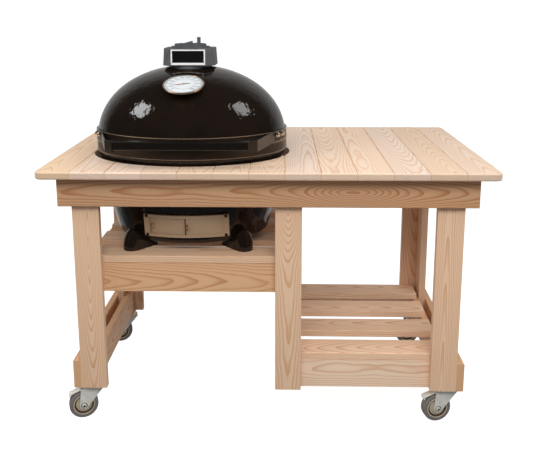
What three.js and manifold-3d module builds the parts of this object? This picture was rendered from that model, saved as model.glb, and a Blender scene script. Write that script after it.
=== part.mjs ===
// A kamado grill table: a boarded wooden table on casters, with an oval ceramic grill standing
// on a slatted deck and rising through an oval opening in the table top.
// Millimetres. X runs along the table, Y away from the front, Z up. The origin is on the floor
// under the middle of the table top.

import * as THREE from 'three';
import { mergeVertices } from 'three/addons/utils/BufferGeometryUtils.js';
import Module from 'manifold-3d';

const wasm = await Module();
wasm.setup();

// General clearances
const GAP = 0.3;
const RUNNING_GAP = 0.6;
const OVERRUN = 5;
const WELD = 0.001;

// Table lumber
const BOARD_T = 25.4;
const RAIL_W = 101.6;
const LEG_W = 88.9;
const PLANK_W = 114.3;
const PLANK_COUNT = 13;
const TOP_CORNER_R = 25;
const TOP_EDGE_R = 5;
const GROOVE_W = 4.4;
const GROOVE_DEPTH = 3;
const EDGE_R = 2;
const LEFT_PLANK_COUNT = 1;
const HOLE_PLANK_COUNT = 6;

// Table heights and footprint
const LEG_L = 762;
const SIDE_OVERHANG = 95.25;
const FRONT_OVERHANG = 50.8;
const BACK_OVERHANG = 120.6;
const APRON_REVEAL = 12.7;
const MIDDLE_LEG_X = 69.85;
const SLAT_COUNT = 4;
const SLAT_SEAT = 12.7;

// Oval opening in the top
const OPENING_GAP_X = 15;
const OPENING_GAP_Y = 11.74;

// Grill body
const BAY_GAP = 31.7;
const OPENING_SETBACK = 8.3;
const BAY_BACK_GAP = 114.5;
const OVAL_RATIO = 0.77;
const RIM_HALF_X = 338;
const SPLIT_Z = 55;
const BAND_W = 36;
const BAND_T = 2.5;
const BASE_FLOOR_HALF_X = 276;
const BASE_DEPTH = 343;
const BASE_CORNER_R = 22;
const BASE_BULGE_SHARE = 0.88;
const SHELL_WALL = 26;
const DOME_H = 257;
const DOME_POWER = 2.1;
const THROAT_R = 44;

// Front handle
const HANDLE_HALF_L = 217;
const HANDLE_H = 28;
const HANDLE_DEPTH = 30;
const HANDLE_STANDOFF = 30;
const HANDLE_EDGE_R = 5;
const HANDLE_RISE = 22;
const STRAP_T = 3;
const STRAP_W = 38;
const BOLT_R = 6;
const BOLT_H = 6;
const BOLT_RISE = 24;
const BOLT_TIP_SHARE = 0.6;
const BOLT_ANGLES = [0.44, 0.32];
const STRAP_ANGLES = [0.5, 0.38, 0.26];

// Hinge at the back
const HINGE_SETBACK = 22;
const HINGE_PIN_R = 5;
const HINGE_BARREL_R = 9;
const HINGE_LID_HALF_L = 60;
const HINGE_BASE_L = 28;
const HINGE_LEAF_T = 6;

// Draft door
const DRAFT_HALF_W = 145.5;
const DRAFT_RISE = 29;
const DRAFT_H = 81;
const DRAFT_HOLE_BORDER_SHARE = 1.6;
const DRAFT_HOLE_SIDE_SHARE = 1.8;
const DRAFT_ARC_SPARE = 8.93;
const DRAFT_BORDER = 10;
const DRAFT_SIDE_BORDER = 20;
const DRAFT_FACE_T = 2;
const DOOR_T = 2;
const DOOR_LAP = 6;
const DOOR_KNOB_R = 5;
const DOOR_KNOB_L = 11;
const DRAFT_SCREW_R = 3.4;
const DRAFT_SCREW_H = 2;

// Firebox and grates
const FIREBOX_DROP = 47;
const FIREBOX_GAP = 16;
const FIREBOX_FLOOR_GAP = 26;
const FIREBOX_WALL = 20;
const FIREBOX_FLOOR_T = 14;
const FIREBOX_LEDGE = 14;
const FIREBOX_LEDGE_RISE = 56.7;
const GRATE_BAR = 6;
const GRATE_RIM = 10;
const COOKING_BARS = 17;
const CHARCOAL_BARS = 11;

// Chimney
const CHIMNEY_HALF_W = 87;
const CHIMNEY_HALF_D = 74;
const CHIMNEY_H = 60;
const CHIMNEY_CHAMFER = 26;
const CHIMNEY_FLARE = 4;
const CHIMNEY_LIFT = 1;
const COLLAR_R = 76;
const COLLAR_DEPTH = 46;
const CAP_T = 8;
const CAP_RING_R = 68;
const CAP_RING_H = 5;
const DAMPER_R = 56.5;
const DAMPER_T = 6;
const VENT_R = 11;
const VENT_CIRCLE_R = 30;
const VENT_COUNT = 5;
const DAMPER_BOSS_R = 8;
const DAMPER_KNOB_R = 6.5;
const DAMPER_KNOB_H = 25;
const DAMPER_KNOB_X = 30;
const DAMPER_FIN_L = 56;
const DAMPER_FIN_T = 5;
const DAMPER_FIN_H = 12;
const DAMPER_FIN_X = 10;
const DAMPER_FIN_Y = 14;

// Thermometer
const DIAL_R = 68.5;
const DIAL_RIM_T = 7;
const DIAL_BEZEL_W = 6;
const DIAL_RECESS = 1.6;
const DIAL_BACK_R = 26;
const DIAL_BACK_T = 13;
const DIAL_STEM_R = 6;
const DIAL_STEM_L = 84;
const DIAL_TILT = THREE.MathUtils.degToRad(21);
const DIAL_ANGLE = THREE.MathUtils.degToRad(44.483);
const DIAL_STANDOFF = 28.76;

// Ceramic feet
const FOOT_L = 120;
const FOOT_W = 62;
const FOOT_H = 74;
const FOOT_TIP_H = 14;
const FOOT_NOSE_L = 34;
const FOOT_NOSE_SHARE = 0.8;
const FOOT_NOSE_SHARES = [0, 0.12, 0.32, 0.62, 1];
const FOOT_TAIL_SHARES = [0.35, 0.7, 1];
const FOOT_TAPER_SHARE = 0.25;
const FOOT_SPRING_SHARE = 0.45;
const FOOT_ARCH_STEPS = 10;
const FOOT_DRAFT_GAP = 69.5;
const FOOT_FRONT_INSET = 12.52;
const FOOT_REAR_INSET = 27.52;
const FOOT_LIFT = 24.8;
const FOOT_TURN = THREE.MathUtils.degToRad(43);

// Casters
const CASTER_HEAD_H = 27;
const CASTER_PLATE_X = 64;
const CASTER_PLATE_Y = 84;
const CASTER_PLATE_T = 3;
const RACE_R = 27;
const RACE_H = 9;
const KING_PIN_R = 5;
const KING_HEAD_R = 9;
const KING_HEAD_H = 4;
const FORK_T = 3;
const FORK_HALF_TOP = 41;
const FORK_FOOT_R = 15;
const FORK_FOOT_ANGLE = Math.PI * 1.86;
const WHEEL_R = 50;
const WHEEL_W = 32;
const TYRE_T = 15;
const TYRE_ROUND = 6;
const RIM_RECESS = 5;
const HUB_R = 15;
const AXLE_R = 5;
const AXLE_NUT_R = 8;
const AXLE_NUT_H = 5;
const NUT_SIDES = 6;
const TRAIL = 33;
const PEDAL_SETBACK = 7;
const PEDAL_PIVOT_DROP = 20;
const PEDAL_PIVOT_R = 3.5;
const PEDAL_L = 44;
const PEDAL_W = 26;
const PEDAL_T = 3;
const PEDAL_LIP = 9;
const PEDAL_SLOPE = THREE.MathUtils.degToRad(20);
const FRONT_LEFT_TURN = THREE.MathUtils.degToRad(20);
const FRONT_RIGHT_TURN = THREE.MathUtils.degToRad(12);
const REAR_LEFT_TURN = THREE.MathUtils.degToRad(14);
const REAR_RIGHT_TURN = THREE.MathUtils.degToRad(8);

// Facet counts
const OVAL_SIDES = 48;
const ROUND_SIDES = 20;
const WHEEL_SIDES = 28;
const SMALL_SIDES = 10;
const ARC_SIDES = 96;
const DOME_STEPS = 9;
const HOLLOW_STEPS = 6;
const SIDE_SHARES = [0.175, 0.425, 0.675, 0.925];
const CORNER_STEPS = 3;
const EASE_STEPS = 2;
const CURVE_STEPS = 5;

// Derived table places
const TOP_HALF_W = (PLANK_W * PLANK_COUNT) / 2;
const RIM_HALF_Y = RIM_HALF_X * OVAL_RATIO;
const OPENING_HALF_X = RIM_HALF_X + OPENING_GAP_X;
const OPENING_HALF_Y = RIM_HALF_Y + OPENING_GAP_Y;
const FRAME_D = OPENING_SETBACK + 2 * OPENING_HALF_Y + BAY_BACK_GAP;
const TOP_D = FRONT_OVERHANG + BOARD_T + FRAME_D + BOARD_T + BACK_OVERHANG;
const TOP_HALF_D = TOP_D / 2;
const FRAME_HALF_W = TOP_HALF_W - SIDE_OVERHANG;
const CASTER_H = 2 * WHEEL_R + CASTER_HEAD_H;
const LEG_Z = CASTER_H;
const UNDER_Z = LEG_Z + LEG_L;
const TOP_Z = UNDER_Z + BOARD_T;
const APRON_FRONT_Y = -TOP_HALF_D + FRONT_OVERHANG;
const FRONT_Y = APRON_FRONT_Y + BOARD_T;
const BACK_Y = FRONT_Y + FRAME_D;
const INNER_FRONT_Y = FRONT_Y + BOARD_T;
const INNER_BACK_Y = BACK_Y - BOARD_T;
const INNER_HALF_W = FRAME_HALF_W - BOARD_T;
const RAIL_IN_X = INNER_HALF_W - BOARD_T;
const LOW_RAIL_TOP = LEG_Z + RAIL_W;
const SLAT_END_X = RAIL_IN_X + SLAT_SEAT;
const MIDDLE_LEFT_X = MIDDLE_LEG_X - LEG_W / 2;
const MIDDLE_RIGHT_X = MIDDLE_LEG_X + LEG_W / 2;
const SLAT_PITCH = (INNER_BACK_Y - RAIL_W - INNER_FRONT_Y) / (SLAT_COUNT - 1);

// Derived grill places, with heights measured from the table's top surface
const GRILL_X = -FRAME_HALF_W + BAY_GAP + RIM_HALF_X;
const GRILL_Y = FRONT_Y + OPENING_SETBACK + OPENING_HALF_Y;
const BASE_Z = SPLIT_Z - BASE_DEPTH;
const DECK_Z = BASE_Z - FOOT_LIFT;
const DECK_TOP = TOP_Z + DECK_Z;
const DECK_RAIL_TOP = DECK_TOP - BOARD_T;
const LID_Z = SPLIT_Z + RUNNING_GAP;
const LID_BAND_TOP = LID_Z + BAND_W;
const BASE_BAND_Z = SPLIT_Z - BAND_W;
const DOME_TOP = SPLIT_Z + DOME_H;
const BAND_OUT_X = RIM_HALF_X + GAP + BAND_T;
const BAND_OUT_Y = RIM_HALF_Y + GAP + BAND_T;
const HINGE_Y = BAND_OUT_Y + HINGE_SETBACK;
const HANDLE_Z = LID_Z + HANDLE_RISE;
const HANDLE_BACK_Y = BAND_OUT_Y + HANDLE_STANDOFF;
const HANDLE_FRONT_Y = HANDLE_BACK_Y + HANDLE_DEPTH;
const CHIMNEY_Z = DOME_TOP + CHIMNEY_LIFT;
const CHIMNEY_TOP = CHIMNEY_Z + CHIMNEY_H;
const CAP_RING_TOP = CHIMNEY_TOP + CAP_RING_H;
const DAMPER_Z = CAP_RING_TOP + GAP;
const DRAFT_LOW = BASE_Z + DRAFT_RISE;
const DRAFT_TOP = DRAFT_LOW + DRAFT_H;
const DRAFT_ARC_R = baseHalfX(DRAFT_TOP) / OVAL_RATIO + DRAFT_ARC_SPARE;

// Materials
function finish(color, roughness, metalness) {
  return new THREE.MeshStandardMaterial({ color, roughness, metalness });
}

const topWood = finish('#ecd6bd', 0.6, 0);
const frameWood = finish('#d2a67c', 0.62, 0);
const slatWood = finish('#d8b088', 0.62, 0);
const glaze = finish('#17110f', 0.15, 0);
const bareCeramic = finish('#b9a58c', 0.85, 0);
const castIron = finish('#2b2c2e', 0.6, 0.6);
const steel = finish('#8d8073', 0.3, 0.9);
const doorSteel = finish('#a08b74', 0.35, 0.9);
const zinc = finish('#c6c4bc', 0.4, 0.8);
const tyreRubber = finish('#6b6663', 0.8, 0);
const handleBlack = finish('#121110', 0.35, 0);
const dialWhite = finish('#e9e9e6', 0.3, 0.1);

// Solids
function signedVolume(position, triangles) {
  const corners = [new THREE.Vector3(), new THREE.Vector3(), new THREE.Vector3()];
  let volume = 0;
  for (let i = 0; i < triangles.length; i += 3) {
    corners.forEach((corner, k) => corner.fromBufferAttribute(position, triangles[i + k]));
    volume += corners[0].dot(corners[1].cross(corners[2]));
  }
  return volume;
}

function solid(geometry) {
  const bare = geometry.clone();
  bare.deleteAttribute('normal');
  bare.deleteAttribute('uv');
  const merged = mergeVertices(bare, WELD);
  const index = merged.index.array;
  const triangles = [];
  for (let i = 0; i < index.length; i += 3) {
    const [a, b, c] = [index[i], index[i + 1], index[i + 2]];
    if (a !== b && b !== c && c !== a) {
      triangles.push(a, b, c);
    }
  }
  if (signedVolume(merged.attributes.position, triangles) < 0) {
    triangles.reverse();
  }
  const vertProperties = new Float32Array(merged.attributes.position.array);
  const triVerts = new Uint32Array(triangles);
  return new wasm.Manifold(new wasm.Mesh({ numProp: 3, vertProperties, triVerts }));
}

function joined(first, ...others) {
  return others.reduce((whole, piece) => whole.add(piece), first);
}

function cut(first, ...tools) {
  return tools.reduce((whole, tool) => whole.subtract(tool), first);
}

const object = new THREE.Group();

function piece(name, body, material, parent = object) {
  const mesh = body.getMesh();
  const geometry = new THREE.BufferGeometry();
  const places = new Float32Array(mesh.vertProperties);
  geometry.setAttribute('position', new THREE.BufferAttribute(places, 3));
  geometry.setIndex(new THREE.BufferAttribute(new Uint32Array(mesh.triVerts), 1));
  geometry.computeVertexNormals();
  const node = new THREE.Mesh(geometry, material);
  node.name = name;
  parent.add(node);
  return node;
}

// Basic shapes
function boxGeometry(x0, x1, y0, y1, z0, z1) {
  const geometry = new THREE.BoxGeometry(x1 - x0, y1 - y0, z1 - z0);
  return geometry.translate((x0 + x1) / 2, (y0 + y1) / 2, (z0 + z1) / 2);
}

function box(x0, x1, y0, y1, z0, z1) {
  return solid(boxGeometry(x0, x1, y0, y1, z0, z1));
}

function upright(radius, z0, z1, x = 0, y = 0, sides = ROUND_SIDES) {
  const geometry = new THREE.CylinderGeometry(radius, radius, z1 - z0, sides);
  geometry.rotateX(Math.PI / 2);
  return solid(geometry.translate(x, y, (z0 + z1) / 2));
}

function alongX(radius, x0, x1, y, z, sides = ROUND_SIDES) {
  const geometry = new THREE.CylinderGeometry(radius, radius, x1 - x0, sides);
  geometry.rotateZ(Math.PI / 2);
  return solid(geometry.translate((x0 + x1) / 2, y, z));
}

function alongY(radius, y0, y1, x, z, sides = ROUND_SIDES) {
  const geometry = new THREE.CylinderGeometry(radius, radius, y1 - y0, sides);
  return solid(geometry.translate(x, (y0 + y1) / 2, z));
}

function raised(shape, z0, z1, sides = ROUND_SIDES) {
  const options = { depth: z1 - z0, bevelEnabled: false, curveSegments: sides };
  return solid(new THREE.ExtrudeGeometry(shape, options).translate(0, 0, z0));
}

function outline(points) {
  return new THREE.Shape(points.map(([x, y]) => new THREE.Vector2(x, y)));
}

function ovalShape(halfX, halfY) {
  const shape = new THREE.Shape();
  shape.absellipse(0, 0, halfX, halfY, 0, Math.PI * 2);
  return shape;
}

function lathe(profile, sides) {
  const points = profile.map(([radius, z]) => new THREE.Vector2(radius, z));
  return new THREE.LatheGeometry(points, sides).rotateX(Math.PI / 2);
}

function ovalLathe(profile) {
  return solid(lathe(profile, OVAL_SIDES).scale(1, OVAL_RATIO, 1));
}

// A board with softened long edges, lying along X, Y or Z
function board(x0, x1, y0, y1, z0, z1) {
  const sizes = [x1 - x0, y1 - y0, z1 - z0];
  const along = sizes.indexOf(Math.max(...sizes));
  const [w, h] = sizes.filter((size, axis) => axis !== along);
  const section = new THREE.Shape();
  section.moveTo(-w / 2 + EDGE_R, -h / 2);
  section.lineTo(w / 2 - EDGE_R, -h / 2);
  section.lineTo(w / 2, -h / 2 + EDGE_R);
  section.lineTo(w / 2, h / 2 - EDGE_R);
  section.lineTo(w / 2 - EDGE_R, h / 2);
  section.lineTo(-w / 2 + EDGE_R, h / 2);
  section.lineTo(-w / 2, h / 2 - EDGE_R);
  section.lineTo(-w / 2, -h / 2 + EDGE_R);
  const options = { depth: sizes[along], bevelEnabled: false };
  const geometry = new THREE.ExtrudeGeometry(section, options);
  geometry.translate(0, 0, -sizes[along] / 2);
  if (along === 0) {
    geometry.rotateY(Math.PI / 2);
    geometry.rotateX(Math.PI / 2);
  }
  if (along === 1) {
    geometry.rotateX(Math.PI / 2);
  }
  return solid(geometry.translate((x0 + x1) / 2, (y0 + y1) / 2, (z0 + z1) / 2));
}

// Table top: thirteen planks with V grooves, an oval opening and rounded corners
function roundedPanel() {
  const w = TOP_HALF_W - TOP_EDGE_R;
  const d = TOP_HALF_D - TOP_EDGE_R;
  const r = TOP_CORNER_R - TOP_EDGE_R;
  const shape = new THREE.Shape();
  shape.absarc(w - r, d - r, r, 0, Math.PI / 2);
  shape.absarc(-w + r, d - r, r, Math.PI / 2, Math.PI);
  shape.absarc(-w + r, -d + r, r, Math.PI, Math.PI * 1.5);
  shape.absarc(w - r, -d + r, r, Math.PI * 1.5, Math.PI * 2);
  const options = {
    depth: BOARD_T - 2 * TOP_EDGE_R,
    bevelThickness: TOP_EDGE_R,
    bevelSize: TOP_EDGE_R,
    bevelSegments: EASE_STEPS,
    curveSegments: CURVE_STEPS,
  };
  const geometry = new THREE.ExtrudeGeometry(shape, options);
  return solid(geometry.translate(0, 0, UNDER_Z + TOP_EDGE_R));
}

function seamX(k) {
  return -TOP_HALF_W + PLANK_W * k;
}

function groove(k) {
  const vee = outline([
    [-GROOVE_W, GROOVE_DEPTH],
    [0, -GROOVE_DEPTH],
    [GROOVE_W, GROOVE_DEPTH],
  ]);
  const length = TOP_D + 2 * OVERRUN;
  const geometry = new THREE.ExtrudeGeometry(vee, { depth: length, bevelEnabled: false });
  geometry.rotateX(Math.PI / 2);
  return solid(geometry.translate(seamX(k), length / 2, TOP_Z));
}

function tableTop() {
  let panel = roundedPanel();
  const opening = raised(ovalShape(OPENING_HALF_X, OPENING_HALF_Y), UNDER_Z - OVERRUN, TOP_Z + OVERRUN);
  panel = cut(panel, opening.translate([GRILL_X, GRILL_Y, 0]));
  for (let k = 1; k < PLANK_COUNT; k += 1) {
    panel = cut(panel, groove(k));
  }
  const low = UNDER_Z - OVERRUN;
  const high = TOP_Z + OVERRUN;
  const side = TOP_HALF_W + OVERRUN;
  const end = TOP_HALF_D + OVERRUN;
  const firstCut = seamX(LEFT_PLANK_COUNT);
  const lastCut = seamX(LEFT_PLANK_COUNT + HOLE_PLANK_COUNT);
  piece('top_board_left', panel.intersect(box(-side, firstCut, -end, end, low, high)), topWood);
  const front = box(firstCut, lastCut, -end, GRILL_Y, low, high);
  const rear = box(firstCut, lastCut, GRILL_Y, end, low, high);
  piece('top_boards_front', panel.intersect(front), topWood);
  piece('top_boards_rear', panel.intersect(rear), topWood);
  piece('top_boards_right', panel.intersect(box(lastCut, side, -end, end, low, high)), topWood);
}

// Aprons, legs and rails
function aprons() {
  const low = UNDER_Z - RAIL_W;
  const reach = FRAME_HALF_W + BOARD_T + APRON_REVEAL;
  const out = FRAME_HALF_W + BOARD_T;
  piece('apron_front', board(-reach, reach, APRON_FRONT_Y, FRONT_Y, low, UNDER_Z), frameWood);
  piece('apron_rear', board(-reach, reach, BACK_Y, BACK_Y + BOARD_T, low, UNDER_Z), frameWood);
  piece('apron_left', board(-out, -FRAME_HALF_W, FRONT_Y, BACK_Y, low, UNDER_Z), frameWood);
  piece('apron_right', board(FRAME_HALF_W, out, FRONT_Y, BACK_Y, low, UNDER_Z), frameWood);
}

function cornerLeg(name, sideSign, endSign) {
  const faceY = endSign < 0 ? FRONT_Y : BACK_Y;
  const corner = (across, deep) => [
    sideSign * (FRAME_HALF_W - across),
    faceY - endSign * deep,
  ];
  const ell = outline([
    corner(0, 0),
    corner(LEG_W, 0),
    corner(LEG_W, BOARD_T),
    corner(BOARD_T, BOARD_T),
    corner(BOARD_T, BOARD_T + LEG_W),
    corner(0, BOARD_T + LEG_W),
  ]);
  piece(name, raised(ell, LEG_Z, UNDER_Z), frameWood);
}

function legs() {
  cornerLeg('leg_front_left', -1, -1);
  cornerLeg('leg_front_right', 1, -1);
  cornerLeg('leg_rear_left', -1, 1);
  cornerLeg('leg_rear_right', 1, 1);
  const middle = (y0, y1) => board(MIDDLE_LEFT_X, MIDDLE_RIGHT_X, y0, y1, LEG_Z, UNDER_Z);
  piece('leg_front_middle', middle(FRONT_Y, INNER_FRONT_Y), frameWood);
  piece('leg_rear_middle', middle(INNER_BACK_Y, BACK_Y), frameWood);
}

function lowRails() {
  const out = FRAME_HALF_W + BOARD_T;
  const outer = (x0, x1) => board(x0, x1, FRONT_Y, BACK_Y, LEG_Z, LOW_RAIL_TOP);
  const inner = (x0, x1) => board(x0, x1, INNER_FRONT_Y, INNER_BACK_Y, LEG_Z, LOW_RAIL_TOP);
  piece('outer_rail_left', outer(-out, -FRAME_HALF_W), frameWood);
  piece('outer_rail_right', outer(FRAME_HALF_W, out), frameWood);
  piece('inner_rail_left', inner(-INNER_HALF_W, -RAIL_IN_X), frameWood);
  piece('inner_rail_right', inner(RAIL_IN_X, INNER_HALF_W), frameWood);
}

function slats(name, x0, x1, top) {
  for (let i = 0; i < SLAT_COUNT; i += 1) {
    const y = INNER_FRONT_Y + SLAT_PITCH * i;
    const slat = board(x0, x1, y, y + RAIL_W, top - BOARD_T, top);
    piece(`${name}_${i + 1}`, slat, slatWood);
  }
}

// Lower shelf in the right bay: front and back rails joined by a bearer behind the middle legs
function lowerShelf() {
  const bearerX = MIDDLE_LEFT_X;
  const frame = joined(
    box(MIDDLE_LEFT_X, RAIL_IN_X, INNER_FRONT_Y, INNER_FRONT_Y + BOARD_T, LEG_Z, LOW_RAIL_TOP),
    box(MIDDLE_LEFT_X, RAIL_IN_X, INNER_BACK_Y - BOARD_T, INNER_BACK_Y, LEG_Z, LOW_RAIL_TOP),
    box(bearerX, bearerX + BOARD_T, INNER_FRONT_Y, INNER_BACK_Y, LEG_Z, LOW_RAIL_TOP),
  );
  piece('shelf_frame', frame, frameWood);
  slats('shelf_slat', bearerX + SLAT_SEAT, SLAT_END_X, LOW_RAIL_TOP + BOARD_T);
}

// Deck in the left bay that carries the grill: two rails and two bearers
function grillDeck() {
  const low = DECK_RAIL_TOP - RAIL_W;
  const high = DECK_RAIL_TOP;
  const bearerX = MIDDLE_RIGHT_X - 2 * BOARD_T;
  const rail = (y0) => box(-INNER_HALF_W, MIDDLE_RIGHT_X, y0, y0 + BOARD_T, low, high);
  const bearer = (x0) => box(x0, x0 + BOARD_T, INNER_FRONT_Y, INNER_BACK_Y, low, high);
  const frame = joined(
    rail(INNER_FRONT_Y),
    rail(INNER_BACK_Y - BOARD_T),
    bearer(-INNER_HALF_W),
    bearer(bearerX),
  );
  piece('deck_frame', frame, frameWood);
  slats('deck_slat', -SLAT_END_X, bearerX + BOARD_T, DECK_TOP);
}

// Grill shells, all turned ovals about the grill's middle
const grill = new THREE.Group();
grill.position.set(GRILL_X, GRILL_Y, TOP_Z);
object.add(grill);

function baseSide(spare, wall) {
  const top = BASE_BAND_Z;
  const points = [];
  for (const share of SIDE_SHARES) {
    const widen = (RIM_HALF_X - BASE_FLOOR_HALF_X) * share ** BASE_BULGE_SHARE;
    const low = BASE_Z + BASE_CORNER_R;
    points.push([BASE_FLOOR_HALF_X + widen + spare - wall, low + (top - low) * share]);
  }
  return points;
}

function baseCorner(spare, wall) {
  const points = [];
  for (let i = 0; i <= CORNER_STEPS; i += 1) {
    const angle = (Math.PI / 2) * (i / CORNER_STEPS);
    const radius = BASE_FLOOR_HALF_X - BASE_CORNER_R + BASE_CORNER_R * Math.sin(angle);
    const height = BASE_Z + BASE_CORNER_R - BASE_CORNER_R * Math.cos(angle);
    points.push([radius + spare - wall, height - spare + wall]);
  }
  return points;
}

function baseBlock(spare) {
  return ovalLathe([
    [0, BASE_Z - spare],
    ...baseCorner(spare, 0),
    ...baseSide(spare, 0),
    [RIM_HALF_X + spare, BASE_BAND_Z],
    [RIM_HALF_X + spare, SPLIT_Z + spare],
    [0, SPLIT_Z + spare],
  ]);
}

function draftHole(reach) {
  const low = DRAFT_LOW + DRAFT_HOLE_BORDER_SHARE * DRAFT_BORDER;
  const high = DRAFT_TOP - DRAFT_HOLE_BORDER_SHARE * DRAFT_BORDER;
  const half = DRAFT_HALF_W - DRAFT_HOLE_SIDE_SHARE * DRAFT_SIDE_BORDER;
  return box(-half, half, -RIM_HALF_Y - reach, -RIM_HALF_Y / 2, low, high);
}

function grillBase() {
  const shell = ovalLathe([
    [0, BASE_Z],
    ...baseCorner(0, 0),
    ...baseSide(0, 0),
    [RIM_HALF_X, BASE_BAND_Z],
    [RIM_HALF_X, SPLIT_Z],
    [RIM_HALF_X - SHELL_WALL, SPLIT_Z],
    [RIM_HALF_X - SHELL_WALL, BASE_BAND_Z],
    ...baseSide(0, SHELL_WALL).reverse(),
    ...baseCorner(0, SHELL_WALL).reverse(),
    [0, BASE_Z + SHELL_WALL],
  ]);
  piece('grill_base', cut(shell, draftHole(OVERRUN)), glaze, grill);
}

function domeArc(halfX, rise, from, steps) {
  const points = [];
  const start = Math.asin(((from - SPLIT_Z) / rise) ** (DOME_POWER / 2));
  for (let i = 0; i < steps; i += 1) {
    const angle = start + (Math.PI / 2 - start) * (i / steps);
    const radius = halfX * Math.cos(angle) ** (2 / DOME_POWER);
    points.push([radius, SPLIT_Z + rise * Math.sin(angle) ** (2 / DOME_POWER)]);
  }
  points.push([0, SPLIT_Z + rise]);
  return points;
}

function lidBlock(spare) {
  return ovalLathe([
    [0, LID_Z - spare],
    [RIM_HALF_X + spare, LID_Z - spare],
    [RIM_HALF_X + spare, LID_BAND_TOP + spare],
    ...domeArc(RIM_HALF_X + spare, DOME_H + spare, LID_BAND_TOP + spare, DOME_STEPS),
  ]);
}

// The thermometer stands on its stem, tilted towards the front
function dialPlaced(geometry) {
  const y = RIM_HALF_Y * Math.cos(DIAL_ANGLE) ** (2 / DOME_POWER);
  const z = DOME_H * Math.sin(DIAL_ANGLE) ** (2 / DOME_POWER);
  geometry.translate(0, 0, DIAL_STANDOFF).rotateX(DIAL_TILT);
  return solid(geometry.translate(0, -y, SPLIT_Z + z));
}

function stemBore() {
  const length = DIAL_STEM_L + DIAL_R;
  const radius = DIAL_STEM_R + GAP;
  const geometry = new THREE.CylinderGeometry(radius, radius, length, ROUND_SIDES);
  return dialPlaced(geometry.rotateX(Math.PI / 2).translate(0, 0, -length / 2));
}

function grillLid() {
  const innerX = RIM_HALF_X - SHELL_WALL;
  const hollow = ovalLathe([
    [0, LID_Z - OVERRUN],
    [innerX, LID_Z - OVERRUN],
    [innerX, LID_BAND_TOP],
    ...domeArc(innerX, DOME_H - SHELL_WALL, LID_BAND_TOP, HOLLOW_STEPS).slice(1),
  ]);
  const throat = upright(THROAT_R, LID_Z, DOME_TOP + OVERRUN);
  piece('grill_lid', cut(lidBlock(0), hollow, throat, stemBore()), glaze, grill);
}

function dial() {
  const inner = DIAL_R - DIAL_BEZEL_W;
  const profile = [
    [0, -DIAL_STEM_L],
    [DIAL_STEM_R, -DIAL_STEM_L],
    [DIAL_STEM_R, -DIAL_BACK_T],
    [DIAL_BACK_R, -DIAL_BACK_T],
    [DIAL_R - DIAL_BEZEL_W / 2, -DIAL_RIM_T],
    [DIAL_R, -DIAL_RIM_T + DIAL_BEZEL_W / 3],
    [DIAL_R, -DIAL_RECESS],
    [DIAL_R - DIAL_BEZEL_W / 3, 0],
    [inner + DIAL_BEZEL_W / 3, 0],
    [inner, -DIAL_RECESS],
    [0, -DIAL_RECESS],
  ];
  piece('thermometer', dialPlaced(lathe(profile, WHEEL_SIDES)), dialWhite, grill);
}

// Steel bands round the rims, with the hinge at the back and the handle straps in front
function band(low, high) {
  const outer = raised(ovalShape(BAND_OUT_X, BAND_OUT_Y), low, high, OVAL_SIDES);
  const hole = ovalShape(RIM_HALF_X + GAP, RIM_HALF_Y + GAP);
  return cut(outer, raised(hole, low - OVERRUN, high + OVERRUN, OVAL_SIDES));
}

function ovalPoint(angle, spare) {
  return [(BAND_OUT_X + spare) * Math.cos(angle), -(BAND_OUT_Y + spare) * Math.sin(angle)];
}

// A bent strip of one thickness through points in plan, with its left side on the points
function strip(points, thickness, z0, z1) {
  const normals = points.slice(1).map(([x, y], i) => {
    const run = new THREE.Vector2(x - points[i][0], y - points[i][1]).normalize();
    return new THREE.Vector2(-run.y, run.x);
  });
  const back = points.map(([x, y], i) => {
    const before = normals[Math.max(i - 1, 0)];
    const after = normals[Math.min(i, normals.length - 1)];
    const mid = before.clone().add(after).normalize();
    const reach = thickness / mid.dot(before);
    return [x + mid.x * reach, y + mid.y * reach];
  });
  return raised(outline([...points, ...back.reverse()]), z0, z1);
}

function handleStrap(side) {
  const endX = HANDLE_HALF_L + GAP;
  const points = [
    [endX, -HANDLE_BACK_Y],
    [endX, -HANDLE_FRONT_Y],
    [endX + HANDLE_DEPTH, -HANDLE_FRONT_Y + HANDLE_DEPTH],
    ...STRAP_ANGLES.map((angle) => ovalPoint(angle, STRAP_T / 2)),
  ];
  const right = strip(points, STRAP_T, LID_Z, LID_Z + STRAP_W);
  return side > 0 ? right : right.mirror([1, 0, 0]);
}

// A bolt head standing out of the straps, square to the oval
function strapBolt(side, angle) {
  const [x, y] = ovalPoint(angle, STRAP_T / 2);
  const geometry = new THREE.CylinderGeometry(BOLT_R * BOLT_TIP_SHARE, BOLT_R, BOLT_H, SMALL_SIDES);
  geometry.translate(0, (BOLT_H - STRAP_T) / 2, 0);
  const turn = Math.atan2(-Math.sin(angle) * BAND_OUT_X, Math.cos(angle) * BAND_OUT_Y);
  geometry.rotateZ(turn - Math.PI / 2);
  geometry.translate(x, y, LID_Z + BOLT_RISE);
  return solid(side > 0 ? geometry : geometry.scale(-1, 1, 1));
}

function barrel(x0, x1) {
  return alongX(HINGE_BARREL_R, x0, x1, HINGE_Y, SPLIT_Z);
}

function lidBand() {
  const half = HINGE_LID_HALF_L;
  const leafLow = LID_Z + GAP;
  const leaf = box(-half, half, RIM_HALF_Y - SHELL_WALL, HINGE_Y, leafLow, leafLow + HINGE_LEAF_T);
  const bore = alongX(HINGE_PIN_R + GAP, -half - OVERRUN, half + OVERRUN, HINGE_Y, SPLIT_Z);
  const body = joined(
    band(LID_Z, LID_BAND_TOP),
    leaf,
    barrel(-half, half),
    handleStrap(1),
    handleStrap(-1),
    ...[1, -1].flatMap((side) => BOLT_ANGLES.map((angle) => strapBolt(side, angle))),
  );
  piece('lid_band', cut(body, bore, lidBlock(GAP)), steel, grill);
}

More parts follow.
